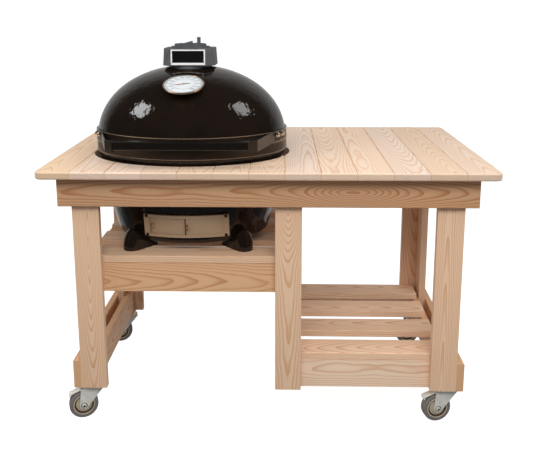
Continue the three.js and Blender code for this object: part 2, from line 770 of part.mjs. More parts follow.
function baseBand() {
  const near = HINGE_LID_HALF_L + RUNNING_GAP;
  const far = near + HINGE_BASE_L;
  const leafY = RIM_HALF_Y - SHELL_WALL;
  const leafTop = SPLIT_Z - GAP;
  const leaf = (x0, x1) => box(x0, x1, leafY, HINGE_Y, leafTop - HINGE_LEAF_T, leafTop);
  const body = joined(
    band(BASE_BAND_Z, SPLIT_Z),
    leaf(near, far),
    leaf(-far, -near),
    barrel(near, far),
    barrel(-far, -near),
    alongX(HINGE_PIN_R, -far, far, HINGE_Y, SPLIT_Z),
  );
  piece('base_band', cut(body, baseBlock(GAP)), steel, grill);
}

function handle() {
  const w = HANDLE_DEPTH - 2 * HANDLE_EDGE_R;
  const h = HANDLE_H - 2 * HANDLE_EDGE_R;
  const section = new THREE.Shape();
  section.absarc(w / 2, h / 2, HANDLE_EDGE_R, 0, Math.PI / 2);
  section.absarc(-w / 2, h / 2, HANDLE_EDGE_R, Math.PI / 2, Math.PI);
  section.absarc(-w / 2, -h / 2, HANDLE_EDGE_R, Math.PI, Math.PI * 1.5);
  section.absarc(w / 2, -h / 2, HANDLE_EDGE_R, Math.PI * 1.5, Math.PI * 2);
  const options = { depth: 2 * HANDLE_HALF_L, bevelEnabled: false, curveSegments: CORNER_STEPS };
  const geometry = new THREE.ExtrudeGeometry(section, options);
  geometry.translate(0, 0, -HANDLE_HALF_L);
  geometry.rotateX(Math.PI / 2);
  geometry.rotateZ(Math.PI / 2);
  const middleY = -HANDLE_BACK_Y - HANDLE_DEPTH / 2;
  piece('handle_bar', solid(geometry.translate(0, middleY, HANDLE_Z)), handleBlack, grill);
}

// Draft door: a frame curved about an upright axis, with two panels that slide round it
const DRAFT_AXIS_Y = DRAFT_ARC_R - DRAFT_FACE_T - 3 * DOOR_T - 4 * RUNNING_GAP - draftFaceY();
const DRAFT_SLOPE = (baseHalfX(DRAFT_TOP) - baseHalfX(DRAFT_LOW)) * OVAL_RATIO;

function baseHalfX(z) {
  const low = BASE_Z + BASE_CORNER_R;
  const share = (z - low) / (BASE_BAND_Z - low);
  const widen = (RIM_HALF_X - BASE_FLOOR_HALF_X) * share ** BASE_BULGE_SHARE;
  return BASE_FLOOR_HALF_X + widen;
}

function draftFaceY() {
  return baseHalfX(DRAFT_TOP) * OVAL_RATIO;
}

// A slice of a cone wall, from depth in to depth out behind the frame's face
function draftWall(nearDepth, farDepth, top, bottom, x0, x1) {
  const radiusAt = (z) => DRAFT_ARC_R + ((z - DRAFT_TOP) / DRAFT_H) * DRAFT_SLOPE;
  const ring = solid(
    lathe(
      [
        [radiusAt(bottom) - farDepth, bottom],
        [radiusAt(bottom) - nearDepth, bottom],
        [radiusAt(top) - nearDepth, top],
        [radiusAt(top) - farDepth, top],
        [radiusAt(bottom) - farDepth, bottom],
      ],
      ARC_SIDES,
    ).translate(0, DRAFT_AXIS_Y, 0),
  );
  const reach = DRAFT_ARC_R + OVERRUN;
  const window = box(x0, x1, DRAFT_AXIS_Y - reach, DRAFT_AXIS_Y - reach / 2, bottom, top);
  return ring.intersect(window);
}

function draftFrame() {
  const top = DRAFT_TOP;
  const back = 3 * SHELL_WALL;
  const half = DRAFT_HALF_W;
  const block = draftWall(0, back, top, DRAFT_LOW, -half, half);
  const windowHalf = half - DRAFT_SIDE_BORDER;
  const windowLow = DRAFT_LOW + DRAFT_BORDER;
  const windowTop = top - DRAFT_BORDER;
  const window = box(-windowHalf, windowHalf, -DRAFT_ARC_R, 0, windowLow, windowTop);
  const trackHalf = windowHalf + DOOR_LAP + 2 * RUNNING_GAP;
  const trackFar = DRAFT_FACE_T + 2 * DOOR_T + 3 * RUNNING_GAP;
  const lap = DOOR_LAP + RUNNING_GAP;
  const track = draftWall(
    DRAFT_FACE_T,
    trackFar,
    windowTop + lap,
    windowLow - lap,
    -trackHalf,
    trackHalf,
  );
  const screws = [];
  for (const x of [-1, 1]) {
    for (const z of [windowTop + DRAFT_BORDER / 2, windowLow - DRAFT_BORDER / 2]) {
      const screwX = x * (half - DRAFT_SIDE_BORDER / 2);
      const bend = DRAFT_ARC_R - Math.sqrt(DRAFT_ARC_R ** 2 - screwX ** 2);
      const slope = ((z - top) / DRAFT_H) * DRAFT_SLOPE;
      const faceY = DRAFT_AXIS_Y - DRAFT_ARC_R - slope + bend;
      const deep = faceY + DRAFT_FACE_T;
      screws.push(alongY(DRAFT_SCREW_R, faceY - DRAFT_SCREW_H, deep, screwX, z, SMALL_SIDES));
    }
  }
  const hollow = cut(block, window, track, baseBlock(GAP));
  const main = hollow.decompose().sort((a, b) => b.volume() - a.volume())[0];
  piece('draft_frame', joined(main, ...screws), steel, grill);
}

function draftDoor(name, depth, x0, x1, knobX) {
  const top = DRAFT_TOP - DRAFT_BORDER + DOOR_LAP;
  const bottom = DRAFT_LOW + DRAFT_BORDER - DOOR_LAP;
  const panel = draftWall(depth, depth + DOOR_T, top, bottom, x0, x1);
  const bend = DRAFT_ARC_R - Math.sqrt(DRAFT_ARC_R ** 2 - knobX ** 2);
  const z = (top + bottom) / 2;
  const faceY = DRAFT_AXIS_Y - DRAFT_ARC_R - ((z - DRAFT_TOP) / DRAFT_H) * DRAFT_SLOPE + bend;
  const inside = faceY + depth + DOOR_T / 2;
  const knob = alongY(DOOR_KNOB_R, faceY - DOOR_KNOB_L, inside, knobX, z, SMALL_SIDES);
  piece(name, joined(panel, knob), doorSteel, grill);
}

function draftDoors() {
  const reach = DRAFT_HALF_W - DRAFT_SIDE_BORDER + DOOR_LAP;
  const knobInset = DOOR_LAP + 2 * DOOR_KNOB_R;
  const frontTrack = DRAFT_FACE_T + RUNNING_GAP;
  const rearTrack = frontTrack + DOOR_T + RUNNING_GAP;
  draftDoor('draft_door_right', frontTrack, -DOOR_T, reach, DOOR_KNOB_R + DOOR_T);
  draftDoor('draft_door_left', rearTrack, -reach, 2 * DOOR_T, -reach + knobInset);
}

// Firebox and its two grates
const FIREBOX_FLOOR_Z = BASE_Z + SHELL_WALL + GAP;
const FIREBOX_TOP_Z = SPLIT_Z - FIREBOX_DROP;
const FIREBOX_LEDGE_Z = FIREBOX_FLOOR_Z + FIREBOX_LEDGE_RISE;
const FIREBOX_HALF_X = RIM_HALF_X - SHELL_WALL - FIREBOX_GAP;
const FIREBOX_FLOOR_HALF_X = BASE_FLOOR_HALF_X - SHELL_WALL - FIREBOX_FLOOR_GAP;

function firebox() {
  const wall = FIREBOX_WALL;
  const shell = ovalLathe([
    [0, FIREBOX_FLOOR_Z],
    [FIREBOX_FLOOR_HALF_X, FIREBOX_FLOOR_Z],
    [FIREBOX_HALF_X, FIREBOX_TOP_Z],
    [FIREBOX_HALF_X - wall, FIREBOX_TOP_Z],
    [FIREBOX_FLOOR_HALF_X + FIREBOX_LEDGE - wall, FIREBOX_LEDGE_Z],
    [FIREBOX_FLOOR_HALF_X - wall, FIREBOX_LEDGE_Z],
    [FIREBOX_FLOOR_HALF_X - wall, FIREBOX_FLOOR_Z + FIREBOX_FLOOR_T],
    [0, FIREBOX_FLOOR_Z + FIREBOX_FLOOR_T],
  ]);
  const half = DRAFT_HALF_W / 2;
  const low = FIREBOX_FLOOR_Z + FIREBOX_FLOOR_T;
  const mouth = box(-half, half, -RIM_HALF_Y, 0, low, FIREBOX_LEDGE_Z - FIREBOX_LEDGE);
  piece('firebox', cut(shell, mouth), bareCeramic, grill);
}

function grate(name, halfX, z, bars, thickness) {
  const halfY = halfX * OVAL_RATIO;
  const top = z + thickness;
  const slab = raised(ovalShape(halfX, halfY), z, top, OVAL_SIDES / 2);
  const inner = ovalShape(halfX - GRATE_RIM, halfY - GRATE_RIM);
  let slots = raised(inner, z - OVERRUN, top + OVERRUN, OVAL_SIDES / 2);
  const pitch = (2 * (halfX - GRATE_RIM)) / (bars + 1);
  for (let i = 1; i <= bars; i += 1) {
    const x0 = -halfX + GRATE_RIM + pitch * i - GRATE_BAR / 2;
    const bar = box(x0, x0 + GRATE_BAR, -halfY, halfY, z - 2 * OVERRUN, top + 2 * OVERRUN);
    slots = cut(slots, bar);
  }
  piece(name, cut(slab, slots), castIron, grill);
}

function grates() {
  const fireHalf = FIREBOX_FLOOR_HALF_X + FIREBOX_LEDGE - FIREBOX_WALL - RUNNING_GAP;
  grate('charcoal_grate', fireHalf, FIREBOX_LEDGE_Z + GAP, CHARCOAL_BARS, GRATE_RIM);
  grate('cooking_grate', FIREBOX_HALF_X - FIREBOX_WALL / 4, FIREBOX_TOP_Z + GAP, COOKING_BARS, GRATE_BAR);
}

// Chimney housing on a collar, with vents under a turning damper disc
function ventHoles(z0, z1) {
  const holes = [];
  for (let i = 0; i < VENT_COUNT; i += 1) {
    const angle = (Math.PI * 2 * (i + 0.5)) / VENT_COUNT;
    const x = VENT_CIRCLE_R * Math.cos(angle);
    const y = VENT_CIRCLE_R * Math.sin(angle);
    holes.push(upright(VENT_R, z0, z1, x, y, SMALL_SIDES));
  }
  return holes;
}

function chimneyOutline(halfW, halfD) {
  const c = CHIMNEY_CHAMFER;
  return [
    [halfW - c, -halfD],
    [halfW, -halfD + c],
    [halfW, halfD - c],
    [halfW - c, halfD],
    [-halfW + c, halfD],
    [-halfW, halfD - c],
    [-halfW, -halfD + c],
    [-halfW + c, -halfD],
  ];
}

function flaredBody() {
  const shape = outline(chimneyOutline(CHIMNEY_HALF_W, CHIMNEY_HALF_D));
  const geometry = new THREE.ExtrudeGeometry(shape, { depth: CHIMNEY_H, bevelEnabled: false });
  const places = geometry.attributes.position;
  for (let i = 0; i < places.count; i += 1) {
    const flare = 1 + (CHIMNEY_FLARE / CHIMNEY_HALF_W) * (1 - places.getZ(i) / CHIMNEY_H);
    places.setXY(i, places.getX(i) * flare, places.getY(i) * flare);
  }
  return solid(geometry.translate(0, 0, CHIMNEY_Z));
}

function chimney() {
  const collar = upright(COLLAR_R, DOME_TOP - COLLAR_DEPTH, CHIMNEY_Z + OVERRUN, 0, 0, WHEEL_SIDES);
  const ring = upright(CAP_RING_R, CHIMNEY_TOP - OVERRUN, CAP_RING_TOP, 0, 0, WHEEL_SIDES);
  const bore = upright(THROAT_R, DOME_TOP - COLLAR_DEPTH - OVERRUN, CHIMNEY_TOP - CAP_T);
  const pivot = upright(DAMPER_BOSS_R / 2, CHIMNEY_TOP, DAMPER_Z + DAMPER_T, 0, 0, SMALL_SIDES);
  const body = cut(joined(collar, flaredBody(), ring), bore, lidBlock(GAP));
  const vented = cut(body, ...ventHoles(CHIMNEY_TOP - 2 * CAP_T, CAP_RING_TOP + OVERRUN));
  piece('chimney', joined(vented, pivot), castIron, grill);
}

function damper() {
  const top = DAMPER_Z + DAMPER_T;
  const sunk = DAMPER_Z + DAMPER_T / 2;
  const disc = upright(DAMPER_R, DAMPER_Z, top, 0, 0, WHEEL_SIDES);
  const boss = upright(DAMPER_BOSS_R, DAMPER_Z, top + GAP);
  const bore = upright(DAMPER_BOSS_R / 2 + GAP, DAMPER_Z - OVERRUN, top + OVERRUN, 0, 0, SMALL_SIDES);
  const knob = upright(DAMPER_KNOB_R, sunk, top + DAMPER_KNOB_H, DAMPER_KNOB_X, 0, SMALL_SIDES);
  const fin = outline([
    [DAMPER_FIN_X - DAMPER_FIN_L, sunk],
    [DAMPER_FIN_X, sunk],
    [DAMPER_FIN_X, top + DAMPER_FIN_H],
    [DAMPER_FIN_X - DAMPER_FIN_T, top + DAMPER_FIN_H],
  ]);
  const finGeometry = new THREE.ExtrudeGeometry(fin, { depth: DAMPER_FIN_T, bevelEnabled: false });
  finGeometry.rotateX(Math.PI / 2).translate(0, DAMPER_FIN_T / 2 - DAMPER_FIN_Y, 0);
  const vented = cut(joined(disc, boss), bore, ...ventHoles(DAMPER_Z - OVERRUN, top + OVERRUN));
  piece('damper_disc', joined(vented, knob, solid(finGeometry)), castIron, grill);
}

// A body through rings of points, each ring in a plane across X
function loft(rings) {
  const count = rings[0].length;
  const places = rings.flat(2);
  const triangles = [];
  for (let r = 0; r + 1 < rings.length; r += 1) {
    for (let i = 0; i < count; i += 1) {
      const a = r * count + i;
      const b = r * count + ((i + 1) % count);
      triangles.push(a, b, a + count, b, b + count, a + count);
    }
  }
  const last = (rings.length - 1) * count;
  for (let i = 1; i + 1 < count; i += 1) {
    triangles.push(0, i + 1, i, last, last + i, last + i + 1);
  }
  const geometry = new THREE.BufferGeometry();
  geometry.setAttribute('position', new THREE.Float32BufferAttribute(places, 3));
  geometry.setIndex(triangles);
  return geometry;
}

// Wedge feet with rounded backs, cut where the base's lower edge sits in them
function footRing(along) {
  const nose = Math.max(1 - along / FOOT_NOSE_L, 0);
  const full = Math.sqrt(1 - FOOT_NOSE_SHARE * nose ** 2);
  const taper = Math.max(along - FOOT_NOSE_L, 0) / (FOOT_L - FOOT_NOSE_L);
  const height = (FOOT_H + (FOOT_TIP_H - FOOT_H) * taper) * full;
  const half = (FOOT_W / 2) * full * (1 - FOOT_TAPER_SHARE * taper);
  const spring = height * FOOT_SPRING_SHARE;
  const ring = [[-along, half, 0]];
  for (let i = 0; i <= FOOT_ARCH_STEPS; i += 1) {
    const angle = (Math.PI * i) / FOOT_ARCH_STEPS;
    const rise = (height - spring) * Math.sin(angle);
    ring.push([-along, half * Math.cos(angle), spring + rise]);
  }
  ring.push([-along, -half, 0]);
  return ring;
}

function foot(name, sideSign, endSign, outY) {
  const nose = FOOT_NOSE_SHARES.map((share) => share * FOOT_NOSE_L);
  const tail = FOOT_TAIL_SHARES.map((share) => FOOT_NOSE_L + share * (FOOT_L - FOOT_NOSE_L));
  const geometry = loft([...nose, ...tail].map(footRing));
  geometry.rotateZ(FOOT_TURN);
  geometry.translate(DRAFT_HALF_W + FOOT_DRAFT_GAP, outY, DECK_Z);
  const placed = solid(geometry.scale(sideSign, endSign, 1));
  piece(name, cut(placed, baseBlock(GAP)), glaze, grill);
}

function feet() {
  const frontY = BASE_FLOOR_HALF_X * OVAL_RATIO - FOOT_FRONT_INSET;
  const rearY = BASE_FLOOR_HALF_X * OVAL_RATIO - FOOT_REAR_INSET;
  foot('foot_front_left', -1, -1, frontY);
  foot('foot_front_right', 1, -1, frontY);
  foot('foot_rear_left', -1, 1, rearY);
  foot('foot_rear_right', 1, 1, rearY);
}

// Casters, each turned about its swivel axis, with heights measured from the leg's underside
const FORK_HALF_W = WHEEL_W / 2 + RUNNING_GAP * 4;
const FORK_TOP = -CASTER_PLATE_T - RACE_H - GAP;
const AXLE_Z = WHEEL_R - CASTER_H;

function casterPlate(name, parent) {
  const flange = box(
    -CASTER_PLATE_X / 2,
    CASTER_PLATE_X / 2,
    -CASTER_PLATE_Y / 2,
    CASTER_PLATE_Y / 2,
    -CASTER_PLATE_T,
    0,
  );
  const race = upright(RACE_R, -CASTER_PLATE_T - RACE_H, -CASTER_PLATE_T / 2);
  const headTop = FORK_TOP - FORK_T - GAP;
  const pin = upright(KING_PIN_R, headTop - KING_HEAD_H, -CASTER_PLATE_T, 0, 0, SMALL_SIDES);
  const head = upright(KING_HEAD_R, headTop - KING_HEAD_H, headTop, 0, 0, SMALL_SIDES);
  piece(name, joined(flange, race, pin, head), zinc, parent);
}

function casterFork(name, parent) {
  const outer = FORK_HALF_W + FORK_T;
  const crown = box(-FORK_HALF_TOP, FORK_HALF_TOP, -outer, outer, FORK_TOP - FORK_T, FORK_TOP);
  const cheek = new THREE.Shape();
  cheek.moveTo(FORK_HALF_TOP, FORK_TOP);
  cheek.lineTo(-FORK_HALF_TOP, FORK_TOP);
  cheek.absarc(-TRAIL, AXLE_Z, FORK_FOOT_R, Math.PI, FORK_FOOT_ANGLE);
  const options = { depth: FORK_T, bevelEnabled: false, curveSegments: CURVE_STEPS + 1 };
  const sheet = new THREE.ExtrudeGeometry(cheek, options);
  sheet.rotateX(Math.PI / 2);
  const nutEnd = outer + AXLE_NUT_H;
  const body = joined(
    crown,
    solid(sheet.clone().translate(0, outer, 0)),
    solid(sheet.clone().translate(0, -FORK_HALF_W, 0)),
    alongY(AXLE_R, -outer, outer, -TRAIL, AXLE_Z, SMALL_SIDES),
    alongY(AXLE_NUT_R, outer - FORK_T / 2, nutEnd, -TRAIL, AXLE_Z, NUT_SIDES),
    alongY(AXLE_NUT_R, -nutEnd, -outer + FORK_T / 2, -TRAIL, AXLE_Z, NUT_SIDES),
  );
  const hole = upright(KING_PIN_R + GAP, FORK_TOP - OVERRUN, FORK_TOP + OVERRUN, 0, 0, SMALL_SIDES);
  piece(name, cut(body, hole), zinc, parent);
}

function casterWheel(name, parent) {
  const half = WHEEL_W / 2;
  const rimR = WHEEL_R - TYRE_T;
  const hubHalf = FORK_HALF_W - RUNNING_GAP;
  const boreR = AXLE_R + RUNNING_GAP;
  const side = [
    [boreR, hubHalf],
    [HUB_R, hubHalf],
    [HUB_R, half - RIM_RECESS],
    [rimR - RIM_RECESS, half - RIM_RECESS],
    [rimR - RIM_RECESS, half],
    [WHEEL_R - TYRE_ROUND, half],
    [WHEEL_R, half - TYRE_ROUND],
  ];
  const mirrored = side.map(([radius, z]) => [radius, -z]).reverse();
  const profile = [...side, ...mirrored, side[0]];
  const geometry = lathe(profile, WHEEL_SIDES).rotateX(Math.PI / 2);
  const wheel = piece(name, solid(geometry), tyreRubber, parent);
  wheel.position.set(-TRAIL, 0, AXLE_Z);
}

function brakePedal(name, parent) {
  const width = PEDAL_W / 2;
  const arm = outline([
    [0, -PEDAL_T / 2],
    [0, PEDAL_T / 2],
    [-PEDAL_L, PEDAL_T / 2],
    [-PEDAL_L - PEDAL_T, PEDAL_T / 2 - PEDAL_LIP],
    [-PEDAL_L, PEDAL_T / 2 - PEDAL_LIP],
    [-PEDAL_L + PEDAL_T, -PEDAL_T / 2],
  ]);
  const geometry = new THREE.ExtrudeGeometry(arm, { depth: PEDAL_W, bevelEnabled: false });
  geometry.rotateX(Math.PI / 2).translate(0, width, 0);
  const pinHalf = FORK_HALF_W - GAP;
  const pin = alongY(PEDAL_PIVOT_R, -pinHalf, pinHalf, 0, 0, SMALL_SIDES);
  const pedal = piece(name, joined(solid(geometry), pin), zinc, parent);
  pedal.position.set(-TRAIL - PEDAL_SETBACK, 0, -PEDAL_PIVOT_DROP);
  pedal.rotation.y = -PEDAL_SLOPE;
}

function caster(place, x, y, turn, braked) {
  const mount = new THREE.Group();
  mount.position.set(x, y, LEG_Z);
  object.add(mount);
  casterPlate(`caster_plate_${place}`, mount);
  const swivel = new THREE.Group();
  swivel.rotation.z = turn;
  mount.add(swivel);
  casterFork(`caster_fork_${place}`, swivel);
  casterWheel(`caster_wheel_${place}`, swivel);
  if (braked) {
    brakePedal(`brake_pedal_${place}`, swivel);
  }
}

function casters() {
  const x = INNER_HALF_W;
  const front = FRONT_Y + LEG_W / 2;
  const back = BACK_Y - LEG_W / 2;
  caster('front_left', -x, front, FRONT_LEFT_TURN, true);
  caster('front_right', x, front, FRONT_RIGHT_TURN, true);
  caster('rear_left', -x, back, REAR_LEFT_TURN, false);
  caster('rear_right', x, back, REAR_RIGHT_TURN, false);
}

tableTop();
aprons();
legs();
lowRails();
lowerShelf();
grillDeck();
grillBase();
grillLid();
lidBand();
baseBand();
handle();
dial();
draftFrame();
draftDoors();
firebox();
grates();
chimney();
damper();
feet();
casters();

export default object;
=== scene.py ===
import math
import random

import bmesh
import bpy
from mathutils import Matrix, Vector


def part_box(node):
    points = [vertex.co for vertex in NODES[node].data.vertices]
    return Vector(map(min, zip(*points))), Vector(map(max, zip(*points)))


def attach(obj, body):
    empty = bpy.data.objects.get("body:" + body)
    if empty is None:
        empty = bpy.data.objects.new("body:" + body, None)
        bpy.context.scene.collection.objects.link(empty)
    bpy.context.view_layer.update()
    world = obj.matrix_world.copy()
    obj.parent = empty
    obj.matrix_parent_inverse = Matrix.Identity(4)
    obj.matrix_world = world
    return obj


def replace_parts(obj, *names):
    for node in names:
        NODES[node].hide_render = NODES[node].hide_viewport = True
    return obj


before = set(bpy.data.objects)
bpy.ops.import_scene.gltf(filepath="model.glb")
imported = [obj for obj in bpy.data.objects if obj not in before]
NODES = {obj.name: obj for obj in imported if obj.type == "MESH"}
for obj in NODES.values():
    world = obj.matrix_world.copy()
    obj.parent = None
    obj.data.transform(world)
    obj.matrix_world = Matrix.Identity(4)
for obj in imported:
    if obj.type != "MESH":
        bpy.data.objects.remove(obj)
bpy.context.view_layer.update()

# Sizes and places in metres, nearly all of them the CAD part's

# The table, from its middle and the floor
TOP_HALF_W = 0.74295
PLANK = 0.1143
LEG_W = 0.0889
LEG_FRONT, LEG_REAR = -0.3683, 0.2985
FRAME_FRONT, FRAME_REAR = -0.3175, 0.2477
FRAME_FOLD = 0.2953
DECK_LEFT_FACE = -0.5969
DECK_RIGHT_FACE, DECK_RIGHT_END = 0.0635, 0.0889
DECK_MIDDLE, DECK_REACH = -0.2667, 0.3429
SHELF_FACE, SHELF_MIDDLE = 0.0508, 0.0381
CASTER_X, CASTER_H, CASTER_TRAIL = 0.6223, 0.127, 0.033
WHEEL_R = 0.05

# The grill, from the middle of its hole in the top
GRILL = Vector((-0.278, -0.088, 0.9144))
RATIO = 0.77
RIM = 0.338
WALL = 0.026
SPLIT = 0.055
BAND = 0.036
BAND_PROUD = 0.0028
BAND_X, BAND_Y = RIM + BAND_PROUD, RIM * RATIO + BAND_PROUD
LIP, LIP_MIDDLE = 0.003, 0.0008
LID_GAP = 0.0006
LID_Z = SPLIT + LID_GAP
DOME_H = 0.257
DOME_POWER = 2.1
THROAT = 0.044
BASE_TALL = 0.343
BASE_Z = SPLIT - BASE_TALL
BASE_FLOOR = 0.276
BASE_CORNER = 0.022
BASE_FLARE = 0.88

# The dial: its middle and tilt, the depths of its enamel and of the metal behind, and the enamel's radius
DIAL_AT = GRILL + Vector((0, -0.199, 0.265))
DIAL_TILT = math.radians(21)
DIAL_FACE, DIAL_BACK = -0.0016, -0.0021
DIAL_R = 0.0623

# Degrees that each castor is swivelled at rest
TURN = {"front_left": 20, "front_right": 12, "rear_left": 14, "rear_right": 8}

# How many flats make a large oval, and how many where it shows less
SIDES, FEWER_SIDES = 144, 96


class Socket:
    """A shader socket that takes part in Python arithmetic."""

    def __init__(self, tree, output=None):
        self.tree = tree
        self.output = output

    def node(self, kind, inputs=(), pick=0, **settings):
        """A new node of that type, as the socket or sockets picked from its outputs."""
        made = self.tree.nodes.new(kind)
        for key, value in settings.items():
            setattr(made, key, value)
        for key, value in inputs.items() if isinstance(inputs, dict) else enumerate(inputs):
            if isinstance(value, Socket):
                self.tree.links.new(value.output, made.inputs[key])
            else:
                made.inputs[key].default_value = value
        if isinstance(pick, tuple):
            return [Socket(self.tree, made.outputs[p]) for p in pick]
        return Socket(self.tree, made.outputs[pick])

    def math(self, operation, *values):
        return self.node("ShaderNodeMath", values, operation=operation)

    def __add__(self, other):
        return self.math("ADD", self, other)

    def __sub__(self, other):
        return self.math("SUBTRACT", self, other)

    def __rsub__(self, other):
        return self.math("SUBTRACT", other, self)

    def __mul__(self, other):
        return self.math("MULTIPLY", self, other)

    def __truediv__(self, other):
        return self.math("DIVIDE", self, other)

    def __rtruediv__(self, other):
        return self.math("DIVIDE", other, self)

    def __pow__(self, other):
        return self.math("POWER", self, other)

    def __neg__(self):
        return self.math("MULTIPLY", self, -1.0)

    def __gt__(self, other):
        return self.math("GREATER_THAN", self, other)

    def __lt__(self, other):
        return self.math("LESS_THAN", self, other)

    def __abs__(self):
        return self.math("ABSOLUTE", self)

    __radd__ = __add__
    __rmul__ = __mul__

    def floor(self):
        return self.math("FLOOR", self)

    def fract(self):
        return self.math("FRACT", self)

    def length(self, other):
        return self.math("SQRT", self * self + other * other)

    def ramp(self, low, high):
        inputs = {"Value": self, "From Min": low, "From Max": high}
        return self.node("ShaderNodeMapRange", inputs, interpolation_type="SMOOTHSTEP")

    def mix(self, a, b):
        inputs = {0: self, 6: a, 7: b}
        return self.node("ShaderNodeMix", inputs, pick=2, data_type="RGBA")

    def blend(self, a, b):
        return self.node("ShaderNodeMix", {0: self, 2: a, 3: b}, data_type="FLOAT")

    def shade(self, colour):
        inputs = {0: colour if isinstance(colour, Socket) else colour[:3], 3: self}
        return self.node("ShaderNodeVectorMath", inputs, operation="SCALE")


def rgb(r, g, b):
    """An sRGB colour in 0 to 255 as a linear one."""
    return tuple(((c / 255 + 0.055) / 1.055) ** 2.4 if c > 10 else c / 3294.6 for c in (r, g, b)) + (1.0,)


class Surface:
    """A Principled material in the frame's own coordinates."""

    def __init__(self, name, **constants):
        self.material = bpy.data.materials.new(name)
        self.material.use_nodes = True
        tree = self.material.node_tree
        self.shader = tree.nodes["Principled BSDF"]
        self.root = Socket(tree)
        place = self.root.node("ShaderNodeTexCoord", pick="Object")
        self.x, self.y, self.z = self.root.node("ShaderNodeSeparateXYZ", [place], pick=(0, 1, 2))
        for key, value in constants.items():
            self.shader.inputs[key.replace("_", " ")].default_value = value

    def point(self, x, y, z):
        return self.root.node("ShaderNodeCombineXYZ", [x, y, z])

    def noise(self, x, y, z, detail=2.0, rough=0.5):
        inputs = {"Vector": self.point(x, y, z), "Scale": 1.0, "Detail": detail, "Roughness": rough}
        return self.root.node("ShaderNodeTexNoise", inputs)

    def speckle(self, scale, detail=2.0, rough=0.5):
        """Noise with that many features to the metre, alike in every direction."""
        return self.noise(self.x * scale, self.y * scale, self.z * scale, detail, rough)

    def spangle(self, scale):
        """A random tone for each crystal of a zinc coat."""
        inputs = {"Vector": self.point(self.x * scale, self.y * scale, self.z * scale), "Scale": 1.0}
        crystal = self.root.node("ShaderNodeTexVoronoi", inputs, pick="Color")
        return self.root.node("ShaderNodeSeparateColor", [crystal])

    def chance(self, value):
        return self.root.node("ShaderNodeTexWhiteNoise", {"W": value}, noise_dimensions="1D")

    def feed(self, **inputs):
        for key, value in inputs.items():
            socket = self.shader.inputs[key.replace("_", " ")]
            if isinstance(value, Socket):
                self.root.tree.links.new(value.output, socket)
            else:
                socket.default_value = value
        return self

    def bump(self, height, strength=1.0):
        inputs = {"Height": height, "Strength": strength, "Distance": 1.0}
        return self.feed(Normal=self.root.node("ShaderNodeBump", inputs))


AXES = {"x": 0, "y": 1, "z": 2}


def wood(name, node, along, across, tones, pitch, contrast, seed,
         planks=False, crossing=None, folded=0, eye=None):
    """Softwood as growth rings about a tilted pith line, with fibres along the board.

    The tones are the early and the late wood, and pitch is a ring's width. planks gives each plank
    of the top a figure of its own. crossing marks the boards of a frame that run the other way,
    folded is how far its two long boards are from the middle, and eye is where a flame figure
    sets out.
    """
    s = Surface(name, Roughness=0.6, Specular_IOR_Level=0.35)
    light, dark = tones
    dice = random.Random(seed)
    low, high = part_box(node)
    middle = (low + high) / 2
    place = [s.x, s.y, s.z]
    deep = ({"x", "y", "z"} - {along, across}).pop()
    run = place[AXES[along]]
    wide = place[AXES[across]] - middle[AXES[across]]
    thick = place[AXES[deep]] - middle[AXES[deep]]
    if folded:
        thick = abs(thick) - folded
    first, second, third = dice.random(), dice.random(), dice.random()
    if planks:
        # Four multiples that give one plank unrelated chances
        index = ((s.x + TOP_HALF_W) / PLANK).floor()
        wide = s.x + TOP_HALF_W - (index + 0.5) * PLANK
        first, second, third = (s.chance(index * k + seed) for k in (1.37, 2.11, 3.73))
        light = (s.chance(index * 5.13 + seed) * 0.75 + (index < 0.5) * 0.5).mix(light, TOP_TAN)
    if crossing is not None:
        mask, inward = crossing(s)
        run, thick = mask.blend(run, place[AXES[deep]]), mask.blend(thick, inward)

    # Slow sweeps and small wanders of the grain, each board from its own stretch of the noise
    start = run + third * 40.0
    sweep = s.noise(start * 1.1, wide * 2.0, thick * 2.0, 0.4) - 0.5
    wander = s.noise(start * 6.0 + 9.0, wide * 14.0, thick * 14.0, 2.0) - 0.5

    # How far the pith line is to the side of the board and behind it
    if eye is None:
        side = wide + (first - 0.5) * 0.06 + sweep * 0.02
        tilt = (run - middle[AXES[along]]) * ((third - 0.5) * 0.11) + second * 0.03 + 0.04
    else:
        away = (run - eye) * (run - eye)
        side = wide + sweep * 0.02
        tilt = away / (away + FLAME_REACH ** 2) * 0.05 + 0.022
    depth = thick + tilt + sweep * 0.034 + wander * 0.008

    # Each ring darkens slowly into its late wood and ends in a sharp line
    ring = side.length(depth) / pitch + wander * 0.25
    part = ring.fract()
    vigour = s.noise(ring.floor() * 3.1, 0.0, 0.0, 0.0)
    late = part.ramp(0.3, 0.93) ** 2.0 * (1.0 - part.ramp(0.94, 1.0)) * (0.5 + vigour * 0.8)

    fibre = s.noise(run * 9.0, wide * 420.0, thick * 420.0, 3.0, 0.65)
    streak = s.noise(start * 2.2, wide * 70.0, thick * 70.0, 2.0)
    tone = 0.95 + first * 0.09 + (fibre - 0.5) * 0.14 + (streak - 0.5) * 0.12
    colour = (late * contrast + (streak - 0.5) * 0.2 + (sweep + 0.1) * 0.3).mix(light, dark)
    if planks:
        # A tan line in each joint, and the front and back faces darker from a little below the top's face
        colour = (PLANK / 2 - abs(wide)).ramp(-0.0004, 0.0018).mix(TOP_JOINT, colour)
        darker_front_back = (abs(s.y) - high.y).ramp(-0.006, -0.003) * (high.z - s.z).ramp(0.002, 0.005)
        tone = tone * (1.0 - darker_front_back * 0.22)
    s.feed(Base_Color=tone.shade(colour), Roughness=0.52 + late * 0.1)
    s.bump(late * -0.00012 + fibre * 0.00016)
    return s.material


